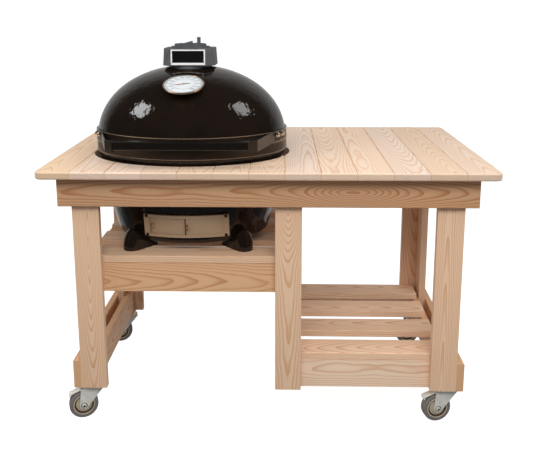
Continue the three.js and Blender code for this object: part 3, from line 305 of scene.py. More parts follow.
def glaze(name):
    """Thick black glaze with a wavy, finely pitted face."""
    s = Surface(name, Specular_IOR_Level=0.5)
    wave, peel, fine = s.speckle(52.0, 1.5), s.speckle(165.0, 1.0), s.speckle(300.0, 1.0)
    colour = s.speckle(6.0, 3.0).mix(rgb(17, 12, 10), rgb(34, 25, 18))
    s.feed(Base_Color=colour, Roughness=0.03 + fine * 0.03)
    s.bump(wave * 0.0011 + peel * 0.00026 + fine * 0.00004)
    return s.material


def cast_iron(name, light=86):
    """Grey casting, patchy about that lightness out of 255."""
    s = Surface(name, Metallic=0.2)
    grain, patch = s.speckle(900.0, 3.0), s.speckle(40.0)
    colour = patch.mix(rgb(light - 14, light - 13, light - 10), rgb(light + 22, light + 24, light + 26))
    s.feed(Base_Color=colour, Roughness=0.5 + grain * 0.25)
    s.bump(grain * 0.0004)
    return s.material


def steel(name, colour, stretch, rough, metal=1.0):
    """Steel with fine lines left by brushing, stretched by the three numbers."""
    s = Surface(name, Metallic=metal)
    lines = s.noise(s.x * stretch[0], s.y * stretch[1], s.z * stretch[2], 3.0, 0.7)
    smear = s.speckle(14.0)
    tone = 0.86 + lines * 0.16 + smear * 0.14
    s.feed(Base_Color=tone.shade(colour), Roughness=rough + lines * 0.12 + (smear - 0.5) * 0.08)
    s.bump(lines * 0.00004)
    return s.material


def zinc(name):
    """Zinc coat with a faint spangle."""
    s = Surface(name, Metallic=0.25)
    smear = s.speckle(60.0, 3.0)
    tone = 0.82 + s.spangle(130.0) * 0.16 + smear * 0.18
    s.feed(Base_Color=tone.shade(rgb(244, 242, 234)), Roughness=0.34 + smear * 0.2)
    s.bump(smear * 0.00012)
    return s.material


def plain(name, colour, rough, depth, grain=500.0):
    """A moulded or painted surface with a little mottling and fine texture."""
    s = Surface(name)
    fine, broad = s.speckle(grain, 3.0), s.speckle(30.0)
    tone = 0.86 + fine * 0.14 + broad * 0.14
    s.feed(Base_Color=tone.shade(colour), Roughness=rough + (fine - 0.5) * 0.14)
    s.bump(fine * depth)
    return s.material


def wheel_surface(name, centre, turn):
    """Grey tyre, thin tan rim, brown painted shade in the hollow between rim and web, tan web and pale hub,
    by distance from the axle.
    """
    s = Surface(name)
    rim, tyre = rgb(214, 202, 178), rgb(124, 118, 113)
    hollow_painted_shade, web, hub = rgb(92, 76, 64), rgb(196, 180, 154), rgb(206, 198, 182)
    dx, dy, dz = s.x - centre.x, s.y - centre.y, s.z - centre.z
    radius = (dx * math.cos(turn) + dy * math.sin(turn)).length(dz)
    colour = (radius > 0.0367).mix(rim, tyre)
    # The ring from the web out to the rim is painted brown as the hollow's shade
    for edge, inside in ((0.0336, hollow_painted_shade), (0.0275, web), (0.0155, hub)):
        colour = (radius < edge).mix(colour, inside)
    fine, dirt = s.speckle(600.0, 3.0), s.speckle(70.0, 3.0)
    tone = 0.84 + fine * 0.12 + dirt * 0.2
    s.feed(Base_Color=tone.shade(colour), Roughness=0.62 + fine * 0.2)
    s.bump(fine * 0.0002)
    return s.material


def dial_surface(name):
    """White enamel inside a polished bezel and back."""
    s = Surface(name)
    c, k = math.cos(DIAL_TILT), math.sin(DIAL_TILT)
    up = (s.y - DIAL_AT.y) * c + (s.z - DIAL_AT.z) * k
    out = (s.z - DIAL_AT.z) * c - (s.y - DIAL_AT.y) * k
    outside = (up.length(s.x - DIAL_AT.x) > DIAL_R) + (out < DIAL_BACK)
    metal = outside.math("MINIMUM", outside, 1.0)
    colour = metal.mix(rgb(216, 221, 223), rgb(206, 182, 164))
    fine = s.speckle(300.0, 3.0)
    tone = 0.96 + fine * 0.06
    s.feed(Base_Color=tone.shade(colour), Metallic=metal, Roughness=0.3 + fine * 0.1)
    return s.material


# Early and late wood of the boards, in tones matched to the photograph, the apron's darkened by painted shade
# and the shelf slats' lightened by painted light
TOP = rgb(241, 219, 202), rgb(222, 176, 136)
TOP_TAN, TOP_JOINT = rgb(238, 208, 176), rgb(214, 164, 122)
PALE = rgb(236, 201, 170), rgb(212, 156, 110)
WARM = rgb(224, 180, 140), rgb(190, 131, 84)
# The shelf slats' wood is lightened beyond its own tone by painted light falling through the open bay
SHELF_WITH_PAINTED_LIGHT = rgb(246, 210, 178), rgb(214, 160, 118)
RAIL = rgb(253, 223, 195), rgb(226, 174, 134)
DECK = rgb(233, 197, 165), rgb(201, 148, 108)
# The apron's wood is darkened beyond its own tone by painted shade from the top's overhang
APRON_WITH_PAINTED_SHADE = rgb(200, 158, 122), rgb(170, 114, 71)

# Where a flame figure sets out along its board, and how far it stretches
FLAME_AT = {"apron_front": 0.28, "apron_rear": 0.28, "leg_front_middle": 0.8}
FLAME_REACH = 0.15

BOARDS = {}


def between_rails(s):
    """A mask of what lies between the front and rear boards of the low frames."""
    return (s.y > FRAME_FRONT) * (s.y < FRAME_REAR)


def deck_bearers(s):
    """A mask of the deck frame's two bearers, and the place across their thickness."""
    left = s.x < DECK_LEFT_FACE
    right = (s.x > DECK_RIGHT_FACE) * (s.x < DECK_RIGHT_END)
    return (left + right) * between_rails(s), abs(s.x - DECK_MIDDLE) - DECK_REACH


def shelf_bearer(s):
    """A mask of the shelf frame's bearer, and the place across its thickness."""
    return (s.x < SHELF_FACE) * between_rails(s), s.x - SHELF_MIDDLE


def lay(nodes, along, across, tones, pitch, contrast, seed):
    """Give each of those nodes a board of that wood, with the next seed for its figure."""
    for i, n in enumerate(nodes):
        BOARDS[n] = wood("wood_" + n, n, along, across, tones, pitch, contrast, seed + i,
                         eye=FLAME_AT.get(n))


def starting(word):
    """The CAD nodes whose names start with that."""
    return [n for n in NODES if n.startswith(word)]


for i, n in enumerate(("top_board_left", "top_boards_front", "top_boards_rear", "top_boards_right")):
    BOARDS[n] = wood("wood_top_" + str(i), n, "y", "x", TOP, 0.0046, 0.75, 3, planks=True)
lay(("apron_front", "apron_rear"), "x", "z", APRON_WITH_PAINTED_SHADE, 0.005, 0.95, 20)
lay(("apron_left", "apron_right"), "y", "z", APRON_WITH_PAINTED_SHADE, 0.005, 0.8, 30)
lay(starting("leg_"), "z", "x", PALE, 0.0044, 0.8, 40)
lay([n for n in NODES if "_rail_" in n], "y", "z", WARM, 0.0045, 0.7, 60)
lay(starting("deck_slat_"), "x", "y", DECK, 0.0048, 0.7, 80)
lay(starting("shelf_slat_"), "x", "y", SHELF_WITH_PAINTED_LIGHT, 0.0048, 0.7, 84)
BOARDS["deck_frame"] = wood("wood_deck", "deck_frame", "x", "z", WARM, 0.0052, 0.75, 95,
                            crossing=deck_bearers, folded=FRAME_FOLD)
BOARDS["shelf_frame"] = wood("wood_shelf", "shelf_frame", "x", "z", RAIL, 0.005, 0.75, 97,
                             crossing=shelf_bearer, folded=FRAME_FOLD)

# How many brushing lines a metre holds along each axis
EVEN = (300.0, 300.0, 300.0)
ROUND_BAND, ROUND_EDGE, ACROSS_DOOR = (30.0, 30.0, 1400.0), (30.0, 30.0, 300.0), (20.0, 20.0, 1600.0)

GLAZE = glaze("black_glaze")
IRON = cast_iron("cast_iron")
DARK_IRON = cast_iron("grate_iron", 44)
BAND_STEEL = steel("band_steel", rgb(58, 50, 43), ROUND_BAND, rough=0.26, metal=0.7)
DOOR_STEEL = steel("door_steel", rgb(204, 172, 140), ACROSS_DOOR, rough=0.36, metal=0.4)
# A dark copy of the door steel, as painted shade along the seam between the doors
DOOR_FOLD_PAINTED_SHADE = steel("door_fold_painted_shade", rgb(88, 74, 62), EVEN, rough=0.3, metal=0.5)
# The bands' rolled edges get a far lighter copy of the band steel, as painted highlight
BAND_EDGE_PAINTED_HIGHLIGHT = steel("band_bead_painted_highlight", rgb(176, 156, 134), ROUND_EDGE, rough=0.24, metal=0.8)
BRIGHT = steel("bright_steel", rgb(226, 214, 196), EVEN, rough=0.2)
ZINC = zinc("zinc")
HANDLE = plain("handle_black", rgb(21, 17, 14), rough=0.22, depth=0.00006)
CERAMIC = plain("bare_ceramic", rgb(186, 164, 138), rough=0.85, depth=0.0006, grain=220.0)
FELT = plain("gasket_felt", rgb(196, 190, 178), rough=0.95, depth=0.0006, grain=900.0)
SIGN_BLACK = plain("sign_black", rgb(14, 14, 15), rough=0.35, depth=0.00004)
SIGN_WHITE = plain("sign_white", rgb(232, 232, 230), rough=0.4, depth=0.00004)
INK = plain("dial_ink", rgb(54, 58, 64), rough=0.4, depth=0.00001)
NEEDLE = plain("needle_red", rgb(176, 34, 30), rough=0.35, depth=0.00001)
SCREW = steel("screw_steel", rgb(96, 88, 80), EVEN, rough=0.3)
# Near-black, as painted shade: the band's holes are discs of it on the band's face
HOLE_PAINTED_SHADE = plain("painted_hole_shade", rgb(16, 14, 13), rough=0.6, depth=0.00001)
DIAL = dial_surface("dial_face")

FINISH = dict(BOARDS)
for n in NODES:
    if n.startswith("foot_") or n in ("grill_base", "grill_lid"):
        FINISH[n] = GLAZE
    elif n.startswith(("caster_plate", "caster_fork", "brake_pedal")):
        FINISH[n] = ZINC
FINISH.update({
    "firebox": CERAMIC, "charcoal_grate": DARK_IRON, "cooking_grate": DARK_IRON, "chimney": IRON,
    "damper_disc": IRON, "lid_band": BAND_STEEL, "base_band": BAND_STEEL, "draft_frame": DOOR_STEEL,
    "draft_door_left": DOOR_STEEL, "draft_door_right": DOOR_STEEL, "handle_bar": HANDLE,
    "thermometer": DIAL,
})


def smooth(obj, degrees):
    """Smooth shading, except across edges sharper than that."""
    mesh = obj.data
    mesh.polygons.foreach_set("use_smooth", [True] * len(mesh.polygons))
    mesh.set_sharp_from_angle(angle=math.radians(degrees))


def coat(obj, material):
    """Give a piece that material alone."""
    obj.data.materials.clear()
    obj.data.materials.append(material)


def add_mesh(name, shape, material, body, degrees=35):
    """A piece with those points and faces, its finish, and the body that it moves with."""
    same_place = 1e-6
    points, faces = shape
    mesh = bpy.data.meshes.new(name)
    mesh.from_pydata([tuple(p) for p in points], [], faces)
    work = bmesh.new()
    work.from_mesh(mesh)
    bmesh.ops.remove_doubles(work, verts=work.verts, dist=same_place)
    bmesh.ops.recalc_face_normals(work, faces=work.faces)
    work.to_mesh(mesh)
    work.free()
    obj = bpy.data.objects.new(name, mesh)
    bpy.context.scene.collection.objects.link(obj)
    coat(obj, material)
    smooth(obj, degrees)
    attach(obj, body)
    return obj


def turned(profile, sides, place, squash=1.0, closed=False):
    """Points and faces of a profile of (radius, height) turned about its axis."""
    on_axis = 1e-9
    points, rings, faces = [], [], []
    for radius, height in profile:
        count = 1 if radius < on_axis else sides
        rings.append(range(len(points), len(points) + count))
        for i in range(count):
            angle = 2 * math.pi * i / sides
            local = Vector((radius * math.cos(angle), radius * squash * math.sin(angle), height))
            points.append(place @ local)
    pairs = list(zip(rings, rings[1:])) + ([(rings[-1], rings[0])] if closed else [])
    for a, b in pairs:
        for i in range(sides):
            j = (i + 1) % sides
            face = [a[i % len(a)], a[j % len(a)], b[j % len(b)], b[i % len(b)]]
            faces.append(list(dict.fromkeys(face)))
    return points, [f for f in faces if len(f) > 2]


def lofted(rings):
    """Points and faces of a closed skin over outlines with equally many points."""
    count = len(rings[0])
    last = count * (len(rings) - 1)
    faces = []
    for start in range(0, last, count):
        for i in range(count):
            j = (i + 1) % count
            faces.append([start + i, start + j, start + count + j, start + count + i])
    faces += [list(range(count)), list(range(last, last + count))]
    return [p for ring in rings for p in ring], faces


def slab(corners, thickness, place):
    """Points and faces of a flat piece with that outline, standing on its plane."""
    return lofted([[place @ Vector((x, y, z)) for x, y in corners] for z in (0, thickness)])


def gathered(parts):
    """Several pieces' points and faces as one."""
    points, faces = [], []
    for more, shapes in parts:
        faces += [[i + len(points) for i in f] for f in shapes]
        points += list(more)
    return points, faces


def oblong(x0, x1, y0, y1):
    """The corners of a rectangle, as an outline or as the section of a flat ring."""
    return [(x0, y0), (x1, y0), (x1, y1), (x0, y1)]


def bead(radius, height, thick, count):
    """The section of a round ring at that radius and height."""
    angles = [2 * math.pi * i / count for i in range(count)]
    return [(radius + thick * math.cos(a), height + thick * math.sin(a)) for a in angles]


# Every CAD node gets its finish, and every board eased edges
EASED = 0.0012
for n, obj in NODES.items():
    coat(obj, FINISH.get(n, IRON))
    smooth(obj, 30 if n in BOARDS else 40)
    if n in BOARDS:
        bevel = obj.modifiers.new("eased_edges", "BEVEL")
        bevel.width = EASED
        bevel.segments = 2
        bevel.limit_method = "ANGLE"
        bevel.angle_limit = math.radians(50)

AT_GRILL = Matrix.Translation(GRILL)


def dome(half, rise, start_z, end_radius, steps):
    """The lid's curve from one height up to a radius at the top."""
    start = math.asin(((start_z - SPLIT) / rise) ** (DOME_POWER / 2))
    end = math.acos((end_radius / half) ** (DOME_POWER / 2))
    angles = [start + (end - start) * i / steps for i in range(steps + 1)]
    power = 2 / DOME_POWER
    return [(half * math.cos(a) ** power, SPLIT + rise * math.sin(a) ** power) for a in angles]


def bare_inside(obj):
    """Bare ceramic on the faces that look in at the grill's middle."""
    facing = -0.012
    obj.data.materials.append(CERAMIC)
    middle = GRILL + Vector((0, 0, SPLIT))
    for face in obj.data.polygons:
        if face.normal.dot(face.center - middle) < facing:
            face.material_index = 1


def fine_lid():
    """The lid's shell, rounded at its lower lip."""
    top = LID_Z + BAND
    outer = dome(RIM, DOME_H, top, THROAT, 48)
    inner = dome(RIM - WALL, DOME_H - WALL, top, THROAT, 32)
    edge = [(RIM - LIP, LID_Z), (RIM - LIP_MIDDLE, LID_Z + LIP_MIDDLE), (RIM, LID_Z + LIP), (RIM, top)]
    back = [(RIM - WALL, LID_Z + LIP), (RIM - WALL + LIP, LID_Z)]
    shell = turned(edge + outer + inner[::-1] + back, SIDES, AT_GRILL, RATIO, closed=True)
    obj = add_mesh("lid_shell", shell, GLAZE, "lid", degrees=50)
    bare_inside(obj)
    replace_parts(obj, "grill_lid")


def flared(share):
    """The base's half width at that share of the way up its side."""
    return BASE_FLOOR + (RIM - BASE_FLOOR) * share ** BASE_FLARE


def base_half(z):
    """The base's half width at that height."""
    return flared((z - BASE_Z - BASE_CORNER) / (SPLIT - BAND - BASE_Z - BASE_CORNER))


def base_profile(inset):
    """The base's rounded corner and flared side, moved in by the inset."""
    corner_steps, side_steps = 8, 32
    low = BASE_Z + BASE_CORNER
    points = []
    for i in range(corner_steps + 1):
        angle = math.pi / 2 * i / corner_steps
        points.append((BASE_FLOOR - BASE_CORNER + BASE_CORNER * math.sin(angle) - inset,
                       low - BASE_CORNER * math.cos(angle) + inset))
    for i in range(1, side_steps + 1):
        share = i / side_steps
        points.append((flared(share) - inset, low + (SPLIT - BAND - low) * share))
    return points


def cut_away(obj, cutter):
    """Take the cutter's volume out of a glazed piece."""
    modifier = obj.modifiers.new("cut", "BOOLEAN")
    modifier.object = cutter
    modifier.solver = "EXACT"
    bpy.context.view_layer.update()
    evaluated = obj.evaluated_get(bpy.context.evaluated_depsgraph_get())
    cut = bpy.data.meshes.new_from_object(evaluated)
    obj.modifiers.clear()
    obj.data = cut
    coat(obj, GLAZE)
    smooth(obj, 50)


def fine_base():
    """The base's shell, with the draft hole cut through its front wall."""
    hole_half, hole_low, hole_high, hole_front, hole_back = 0.1095, -0.243, -0.194, -0.3, -0.13
    outer = [(0, BASE_Z)] + base_profile(0) + [(RIM, SPLIT - LIP), (RIM - LIP, SPLIT)]
    inner = [(RIM - WALL, SPLIT)] + base_profile(WALL)[::-1] + [(0, BASE_Z + WALL)]
    shell = turned(outer + inner, SIDES, AT_GRILL, RATIO)
    obj = add_mesh("base_shell", shell, GLAZE, "table", degrees=50)
    low = GRILL + Vector((-hole_half, hole_front, hole_low))
    high = GRILL + Vector((hole_half, hole_back, hole_high))
    bpy.ops.mesh.primitive_cube_add(size=1, location=(low + high) / 2)
    cutter = bpy.context.object
    cutter.scale = high - low
    cut_away(obj, cutter)
    bpy.data.objects.remove(cutter)
    bare_inside(obj)
    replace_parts(obj, "grill_base")


def gasket():
    """A thin felt ring on the base's rim."""
    inside, outside, sunk, proud = 0.004, 0.005, 0.0001, 0.0004
    ring = oblong(RIM - WALL + inside, RIM - outside, SPLIT - sunk, SPLIT + proud)
    add_mesh("rim_gasket", turned(ring, FEWER_SIDES, AT_GRILL, RATIO, closed=True), FELT, "table")


def grate_rods():
    """Round rods inside an oval rim, on three cross rods."""
    half, z = 0.291, 0.0113
    rods, spare, lift, gap = 29, 0.012, 0.0002, 0.003
    cross_rods, drop, cross_gap = (-0.12, 0, 0.12), 0.0008, 0.004
    rod_r, cross_r, rim_r, rim_inset = 0.0026, 0.0021, 0.0029, 0.003

    def rod(x, y, height, axis, radius, reach):
        place = AT_GRILL @ Matrix.Translation((x, y, height)) @ Matrix.Rotation(math.pi / 2, 4, axis)
        return turned(oblong(0, radius, -reach, reach), 10, place)

    parts = []
    for k in range(rods):
        x = -half + spare + (2 * half - 2 * spare) * k / (rods - 1)
        reach = half * RATIO * math.sqrt(max(1 - (x / half) ** 2, 0)) - gap
        parts.append(rod(x, 0, z + lift, "X", rod_r, reach))
    for y in cross_rods:
        reach = half * math.sqrt(1 - (y / half / RATIO) ** 2) - cross_gap
        parts.append(rod(0, y, z - drop, "Y", cross_r, reach))
    parts.append(turned(bead(half - rim_inset, z, rim_r, 10), FEWER_SIDES, AT_GRILL, RATIO, closed=True))
    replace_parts(add_mesh("grate_rods", gathered(parts), DARK_IRON, "table"), "cooking_grate")


def foot_rings():
    """Arched outlines of a foot, from its round nose back to its low tip, turned to a corner."""
    nose, length, wide, tall, tip, turn = 0.034, 0.12, 0.031, 0.074, 0.014, 43
    narrowing, wall_share, arch_steps, tail_steps = 0.25, 0.45, 20, 9
    nose_shares = [0.004, 0.02, 0.06, 0.12, 0.2, 0.3, 0.42, 0.56, 0.72, 0.88]
    places = [nose * k for k in nose_shares]
    places += [nose + (length - nose) * k / tail_steps for k in range(tail_steps + 1)]
    spin = Matrix.Rotation(math.radians(turn), 4, "Z")
    rings = []
    for along in places:
        full = math.sqrt(1 - max(1 - along / nose, 0) ** 2)
        taper = max(along - nose, 0) / (length - nose)
        height = (tall + (tip - tall) * taper) * full
        half = wide * full * (1 - narrowing * taper)
        angles = [math.pi * i / arch_steps for i in range(arch_steps + 1)]
        ring = [(half, 0)]
        ring += [(half * math.cos(a), height * (wall_share + (1 - wall_share) * math.sin(a))) for a in angles]
        ring += [(-half, 0)]
        rings.append([spin @ Vector((-along, y, z)) for y, z in ring])
    return rings


def fine_feet():
    """Rounded wedge feet, cut where the base's lower edge sits in them."""
    clearance = 0.0002
    block = [(0, BASE_Z)] + base_profile(-clearance) + [(0, SPLIT - BAND)]
    cutter = add_mesh("base_block", turned(block, FEWER_SIDES, AT_GRILL, RATIO), GLAZE, "table")
    points, faces = lofted(foot_rings())
    reach_x, reach_y = max(p.x for p in points), max(p.y for p in points)
    for n in starting("foot_"):
        low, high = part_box(n)
        side = -1 if "left" in n else 1
        end = -1 if "front" in n else 1
        corner = Vector((high.x if side > 0 else low.x, low.y if end < 0 else high.y, low.z))
        foot = [corner + Vector(((p.x - reach_x) * side, (p.y - reach_y) * end, p.z)) for p in points]
        obj = add_mesh("round_" + n, (foot, faces), GLAZE, "table", degrees=50)
        cut_away(obj, cutter)
        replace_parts(obj, n)
    bpy.data.objects.remove(cutter)


def band_beads():
    """Rolled edges of the two bands, in a far lighter steel that paints a highlight line along each."""
    thick, proud = 0.0013, 0.0004
    beads = (("lid_bead_low", LID_Z + 0.0011, "lid"),
             ("lid_bead_high", LID_Z + BAND - 0.0006, "lid"),
             ("base_bead_high", SPLIT - 0.0011, "table"),
             ("base_bead_low", SPLIT - BAND + 0.0008, "table"))
    for name, z, body in beads:
        roll = turned(bead(BAND_X + proud, z, thick, 8), SIDES, AT_GRILL, RATIO, closed=True)
        add_mesh(name, roll, BAND_EDGE_PAINTED_HIGHLIGHT, body)


# Dial, seen square to its face
AT_DIAL = Matrix.Translation(DIAL_AT) @ Matrix.Rotation(DIAL_TILT, 4, "X")
DIAL_START, DIAL_STEP, TICKS = -137.5, 5, 56
TICKS_TO_A_NUMBER = 5
TICK_R = 0.0585
INNER_RING_R = 0.0365
INK_LIFT, INK_THICK = 0.0001, 0.0002


def dial_angle(ticks):
    """The angle clockwise from the top after that many ticks."""
    return math.radians(DIAL_START + DIAL_STEP * ticks)


def spoke(angle, inner, outer, width):
    """A thin bar on the dial between two radii, at an angle clockwise from the top."""
    place = AT_DIAL @ Matrix.Translation((0, 0, DIAL_FACE + INK_LIFT)) @ Matrix.Rotation(-angle, 4, "Z")
    return slab(oblong(-width / 2, width / 2, inner, outer), INK_THICK, place)


def dial_marks():
    """Two printed rings and the ticks, every fifth one long."""
    long, short = (0.0535, 0.0014), (0.0558, 0.0008)
    low = DIAL_FACE + INK_LIFT
    parts = [turned(oblong(radius, radius + width, low, low + INK_THICK), 72, AT_DIAL, closed=True)
             for radius, width in ((TICK_R, 0.0009), (INNER_RING_R, 0.0008))]
    for i in range(TICKS):
        inner, width = short if i % TICKS_TO_A_NUMBER else long
        parts.append(spoke(dial_angle(i), inner, TICK_R, width))
    add_mesh("dial_marks", gathered(parts), INK, "lid")


def dial_needle():
    """A red needle with a dark tail on a bright hub."""
    thick, lift, turn = 0.0005, 0.0006, 104
    spin = Matrix.Rotation(math.radians(turn), 4, "Z")
    place = AT_DIAL @ Matrix.Translation((0, 0, DIAL_FACE + lift)) @ spin
    hand = [(-0.0022, 0), (0.0022, 0), (0.0018, 0.026), (0, 0.034), (-0.0018, 0.026)]
    add_mesh("dial_needle", slab(hand, thick, place), NEEDLE, "lid")
    tail = [(-0.0016, -0.022), (0.0016, -0.022), (0.0018, 0), (-0.0018, 0)]
    add_mesh("dial_tail", slab(tail, thick, place), INK, "lid")
    hub = [(0, DIAL_FACE), (0.0042, DIAL_FACE), (0.0042, DIAL_FACE + 0.001), (0.0034, DIAL_FACE + 0.0014),
           (0, DIAL_FACE + 0.0015)]
    add_mesh("dial_hub", turned(hub, 24, AT_DIAL), BRIGHT, "lid")


def dial_numbers():
    """Plain numbers from 50 in steps of 50, each inside its long tick."""
    radius, tall, lift = 0.0468, 0.0104, 0.0003
    count, step = 12, 50
    for i in range(count):
        angle = dial_angle(i * TICKS_TO_A_NUMBER)
        curve = bpy.data.curves.new("dial_number_" + str(i + 1), "FONT")
        curve.body = str(step * (i + 1))
        curve.size = tall
        curve.align_x, curve.align_y = "CENTER", "CENTER"
        curve.resolution_u = 3
        obj = bpy.data.objects.new(curve.name, curve)
        bpy.context.scene.collection.objects.link(obj)
        spot = Vector((radius * math.sin(angle), radius * math.cos(angle), DIAL_FACE + lift))
        obj.matrix_world = AT_DIAL @ Matrix.Translation(spot)
        bpy.context.view_layer.update()
        mesh = bpy.data.meshes.new_from_object(obj)
        mesh.transform(obj.matrix_world)
        name = obj.name
        bpy.data.objects.remove(obj)
        made = bpy.data.objects.new(name + "_mark", mesh)
        bpy.context.scene.collection.objects.link(made)
        coat(made, INK)
        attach(made, "lid")


def sign():
    """A blank framed plate on the chimney's sloping front."""
    low_y, high_y, rise, z = 0.0774, 0.074, 0.06, 0.343
    w, h, edge, sill, thick, proud = 0.0595, 0.0265, 0.0045, 1.7, 0.0012, 0.0008
    slope = math.atan((low_y - high_y) / rise)
    middle = GRILL + Vector((0, -(low_y + high_y) / 2, z))
    place = Matrix.Translation(middle) @ Matrix.Rotation(math.pi / 2 - slope, 4, "X")
    add_mesh("sign_plate", slab(oblong(-w, w, -h, h), thick, place), SIGN_BLACK, "lid")
    lifted = place @ Matrix.Translation((0, 0, proud))
    strips = (oblong(-w, w, h - edge, h), oblong(-w, w, -h, -h + sill * edge),
              oblong(-w, -w + edge, -h + edge, h - edge), oblong(w - edge, w, -h + edge, h - edge))
    border = gathered([slab(strip, thick, lifted) for strip in strips])
    add_mesh("sign_border", border, SIGN_WHITE, "lid")


def damper_ribs():
    """A raised rim on the damper, and ribs that are long and short by turns."""
    face, sunk, count, rib_tall = 0.3843, 0.0005, 10, 0.0036
    rim_in, rim_out, rim_proud = 0.0515, 0.0552, 0.0022
    long, short, end = 0.012, 0.043, 0.052
    rim = oblong(rim_in, rim_out, face - sunk, face + rim_proud)
    parts = [turned(rim, 64, AT_GRILL, closed=True)]
    for i in range(count):
        start = short if i % 2 else long
        spin = Matrix.Rotation(2 * math.pi * i / count, 4, "Z")
        place = AT_GRILL @ spin @ Matrix.Translation((0, 0, face - sunk))
        rib = [(start, -0.0019), (end, -0.0014), (end, 0.0014), (start, 0.0019)]
        parts.append(slab(rib, rib_tall, place))
    add_mesh("damper_ribs", gathered(parts), IRON, "damper", degrees=30)


def on_oval(angle, side, spare, z):
    """A matrix on the bands' outer face, with its Z axis straight out."""
    x, y = (BAND_X + spare) * math.cos(angle), -(BAND_Y + spare) * math.sin(angle)
    out = Vector((BAND_Y * math.cos(angle) * side, -BAND_X * math.sin(angle), 0)).normalized()
    up = Vector((0, 0, 1))
    turn = Matrix((up.cross(out), up, out)).transposed().to_4x4()
    return Matrix.Translation(GRILL + Vector((x * side, y, z))) @ turn


def band_fixings():
    """Cap nuts over the strap bolts, and two dark discs each side on the base band, painted as the shade of
    holes.
    """
    strap, clearance, nut_up = 0.0015, 0.0003, 0.024
    hole_shift, hole_proud, hole_down = 0.02, 0.0002, 0.016
    nut = [(0, -0.001), (0.0096, -0.001), (0.0096, 0.0008), (0.0084, 0.0014), (0.0082, 0.0042),
           (0.007, 0.0066), (0.0046, 0.0084), (0, 0.009)]
    hole = oblong(0, 0.003, -0.001, 0.0003)
    places = [(side, angle) for side in (1, -1) for angle in (0.44, 0.32)]
    for number, (side, angle) in enumerate(places, 1):
        at = on_oval(angle, side, strap + clearance, LID_Z + nut_up)
        add_mesh("dome_nut_" + str(number), turned(nut, 20, at), BRIGHT, "lid")
        # A dark disc on the band, painted as a hole's shade
        at = on_oval(angle - hole_shift, side, hole_proud, SPLIT - hole_down)
        add_mesh("painted_hole_disc_" + str(number), turned(hole, 16, at), HOLE_PAINTED_SHADE, "table")


# The draft frame's face is a leaning arc about an upright axis inside the grill
DRAFT_TOP, DRAFT_H = -0.178, 0.081
DRAFT_ARC, DRAFT_PROUD = 0.396, 0.0104
DRAFT_AXIS_Y = DRAFT_ARC - DRAFT_PROUD - base_half(DRAFT_TOP) * RATIO
DRAFT_LEAN = (base_half(DRAFT_TOP) - base_half(DRAFT_TOP - DRAFT_H)) * RATIO


def draft_face(x, z):
    """The place on the draft frame's face at that x and z."""
    bend = DRAFT_ARC - math.sqrt(DRAFT_ARC ** 2 - x ** 2)
    return Vector((x, DRAFT_AXIS_Y - DRAFT_ARC - (z - DRAFT_TOP) / DRAFT_H * DRAFT_LEAN + bend, z))


def draft_handles():
    """Upright finger tabs on both doors, and the folded edge where they meet, coloured dark as painted shade
    of the seam.
    """
    tab_z, tab_thick = -0.2185, 0.0032
    tab = [(-0.0115, -0.002), (0.0115, -0.002), (0.0115, 0.0085), (0.008, 0.0115), (-0.008, 0.0115),
           (-0.0115, 0.0085)]
    upright = Matrix(((0, 0, 1), (0, -1, 0), (1, 0, 0))).to_4x4()
    for name, x in (("draft_left", -0.1155), ("draft_right", 0.0065)):
        spot = draft_face(x, tab_z) - Vector((tab_thick / 2, 0, 0))
        tab_shape = slab(tab, tab_thick, AT_GRILL @ Matrix.Translation(spot) @ upright)
        add_mesh(name + "_tab", tab_shape, BRIGHT, name, degrees=25)
    fold_x, margin = -0.0008, 0.0105
    section = oblong(-0.0016, 0.0016, 0.0004, 0.0026)
    rings = [[GRILL + draft_face(fold_x, z) + Vector((dx, dy, 0)) for dx, dy in section]
             for z in (DRAFT_TOP - margin, DRAFT_TOP - DRAFT_H + margin)]
    add_mesh("draft_right_fold", lofted(rings), DOOR_FOLD_PAINTED_SHADE, "draft_right", degrees=25)


def draft_screws():
    """Pan heads, each with a small bar across, at the corners of the draft frame."""
    sunk, bar_thick, bar_lift, turn_each = 0.002, 0.0008, 0.0022, 0.7
    head = [(0, -0.002), (0.0052, -0.002), (0.0052, 0.0008), (0.004, 0.002), (0, 0.0024)]
    bar = oblong(-0.0042, 0.0042, -0.0007, 0.0007)
    corners = [(x, z) for x in (-0.1355, 0.1355) for z in (-0.183, -0.254)]
    for number, (x, z) in enumerate(corners, 1):
        place = AT_GRILL @ Matrix.Translation(draft_face(x, z) - Vector((0, sunk, 0)))
        place = place @ Matrix.Rotation(math.pi / 2, 4, "X")
        on_head = place @ Matrix.Translation((0, 0, bar_lift)) @ Matrix.Rotation(turn_each * number, 4, "Z")
        screw = gathered([turned(head, 20, place), slab(bar, bar_thick, on_head)])
        add_mesh("draft_screw_" + str(number), screw, SCREW, "table")


def casters():
    """Each castor's name, the middle of its plate, its turn and the middle of its wheel."""
    for name, degrees in TURN.items():
        x = -CASTER_X if name.endswith("left") else CASTER_X
        y = LEG_FRONT + LEG_W / 2 if name.startswith("front") else LEG_REAR - LEG_W / 2
        at, turn = Vector((x, y, CASTER_H)), math.radians(degrees)
        trail = Vector((-CASTER_TRAIL * math.cos(turn), -CASTER_TRAIL * math.sin(turn), WHEEL_R - CASTER_H))
        yield name, at, turn, at + trail


def plate_bolts(name, at):
    """Four hexagon heads under a castor's plate."""
    head = [(0, -0.0005), (0.0062, -0.0005), (0.0062, 0.0004), (0.005, 0.0006), (0.005, 0.0036), (0, 0.004)]
    apart_x, apart_y, plate_thick = 0.025, 0.034, 0.003
    bolts = []
    for dx in (-apart_x, apart_x):
        for dy in (-apart_y, apart_y):
            under = Matrix.Translation(at + Vector((dx, dy, -plate_thick)))
            bolts.append(turned(head, 6, under @ Matrix.Rotation(math.pi, 4, "X")))
    add_mesh("plate_bolts_" + name, gathered(bolts), BRIGHT, "table", degrees=25)


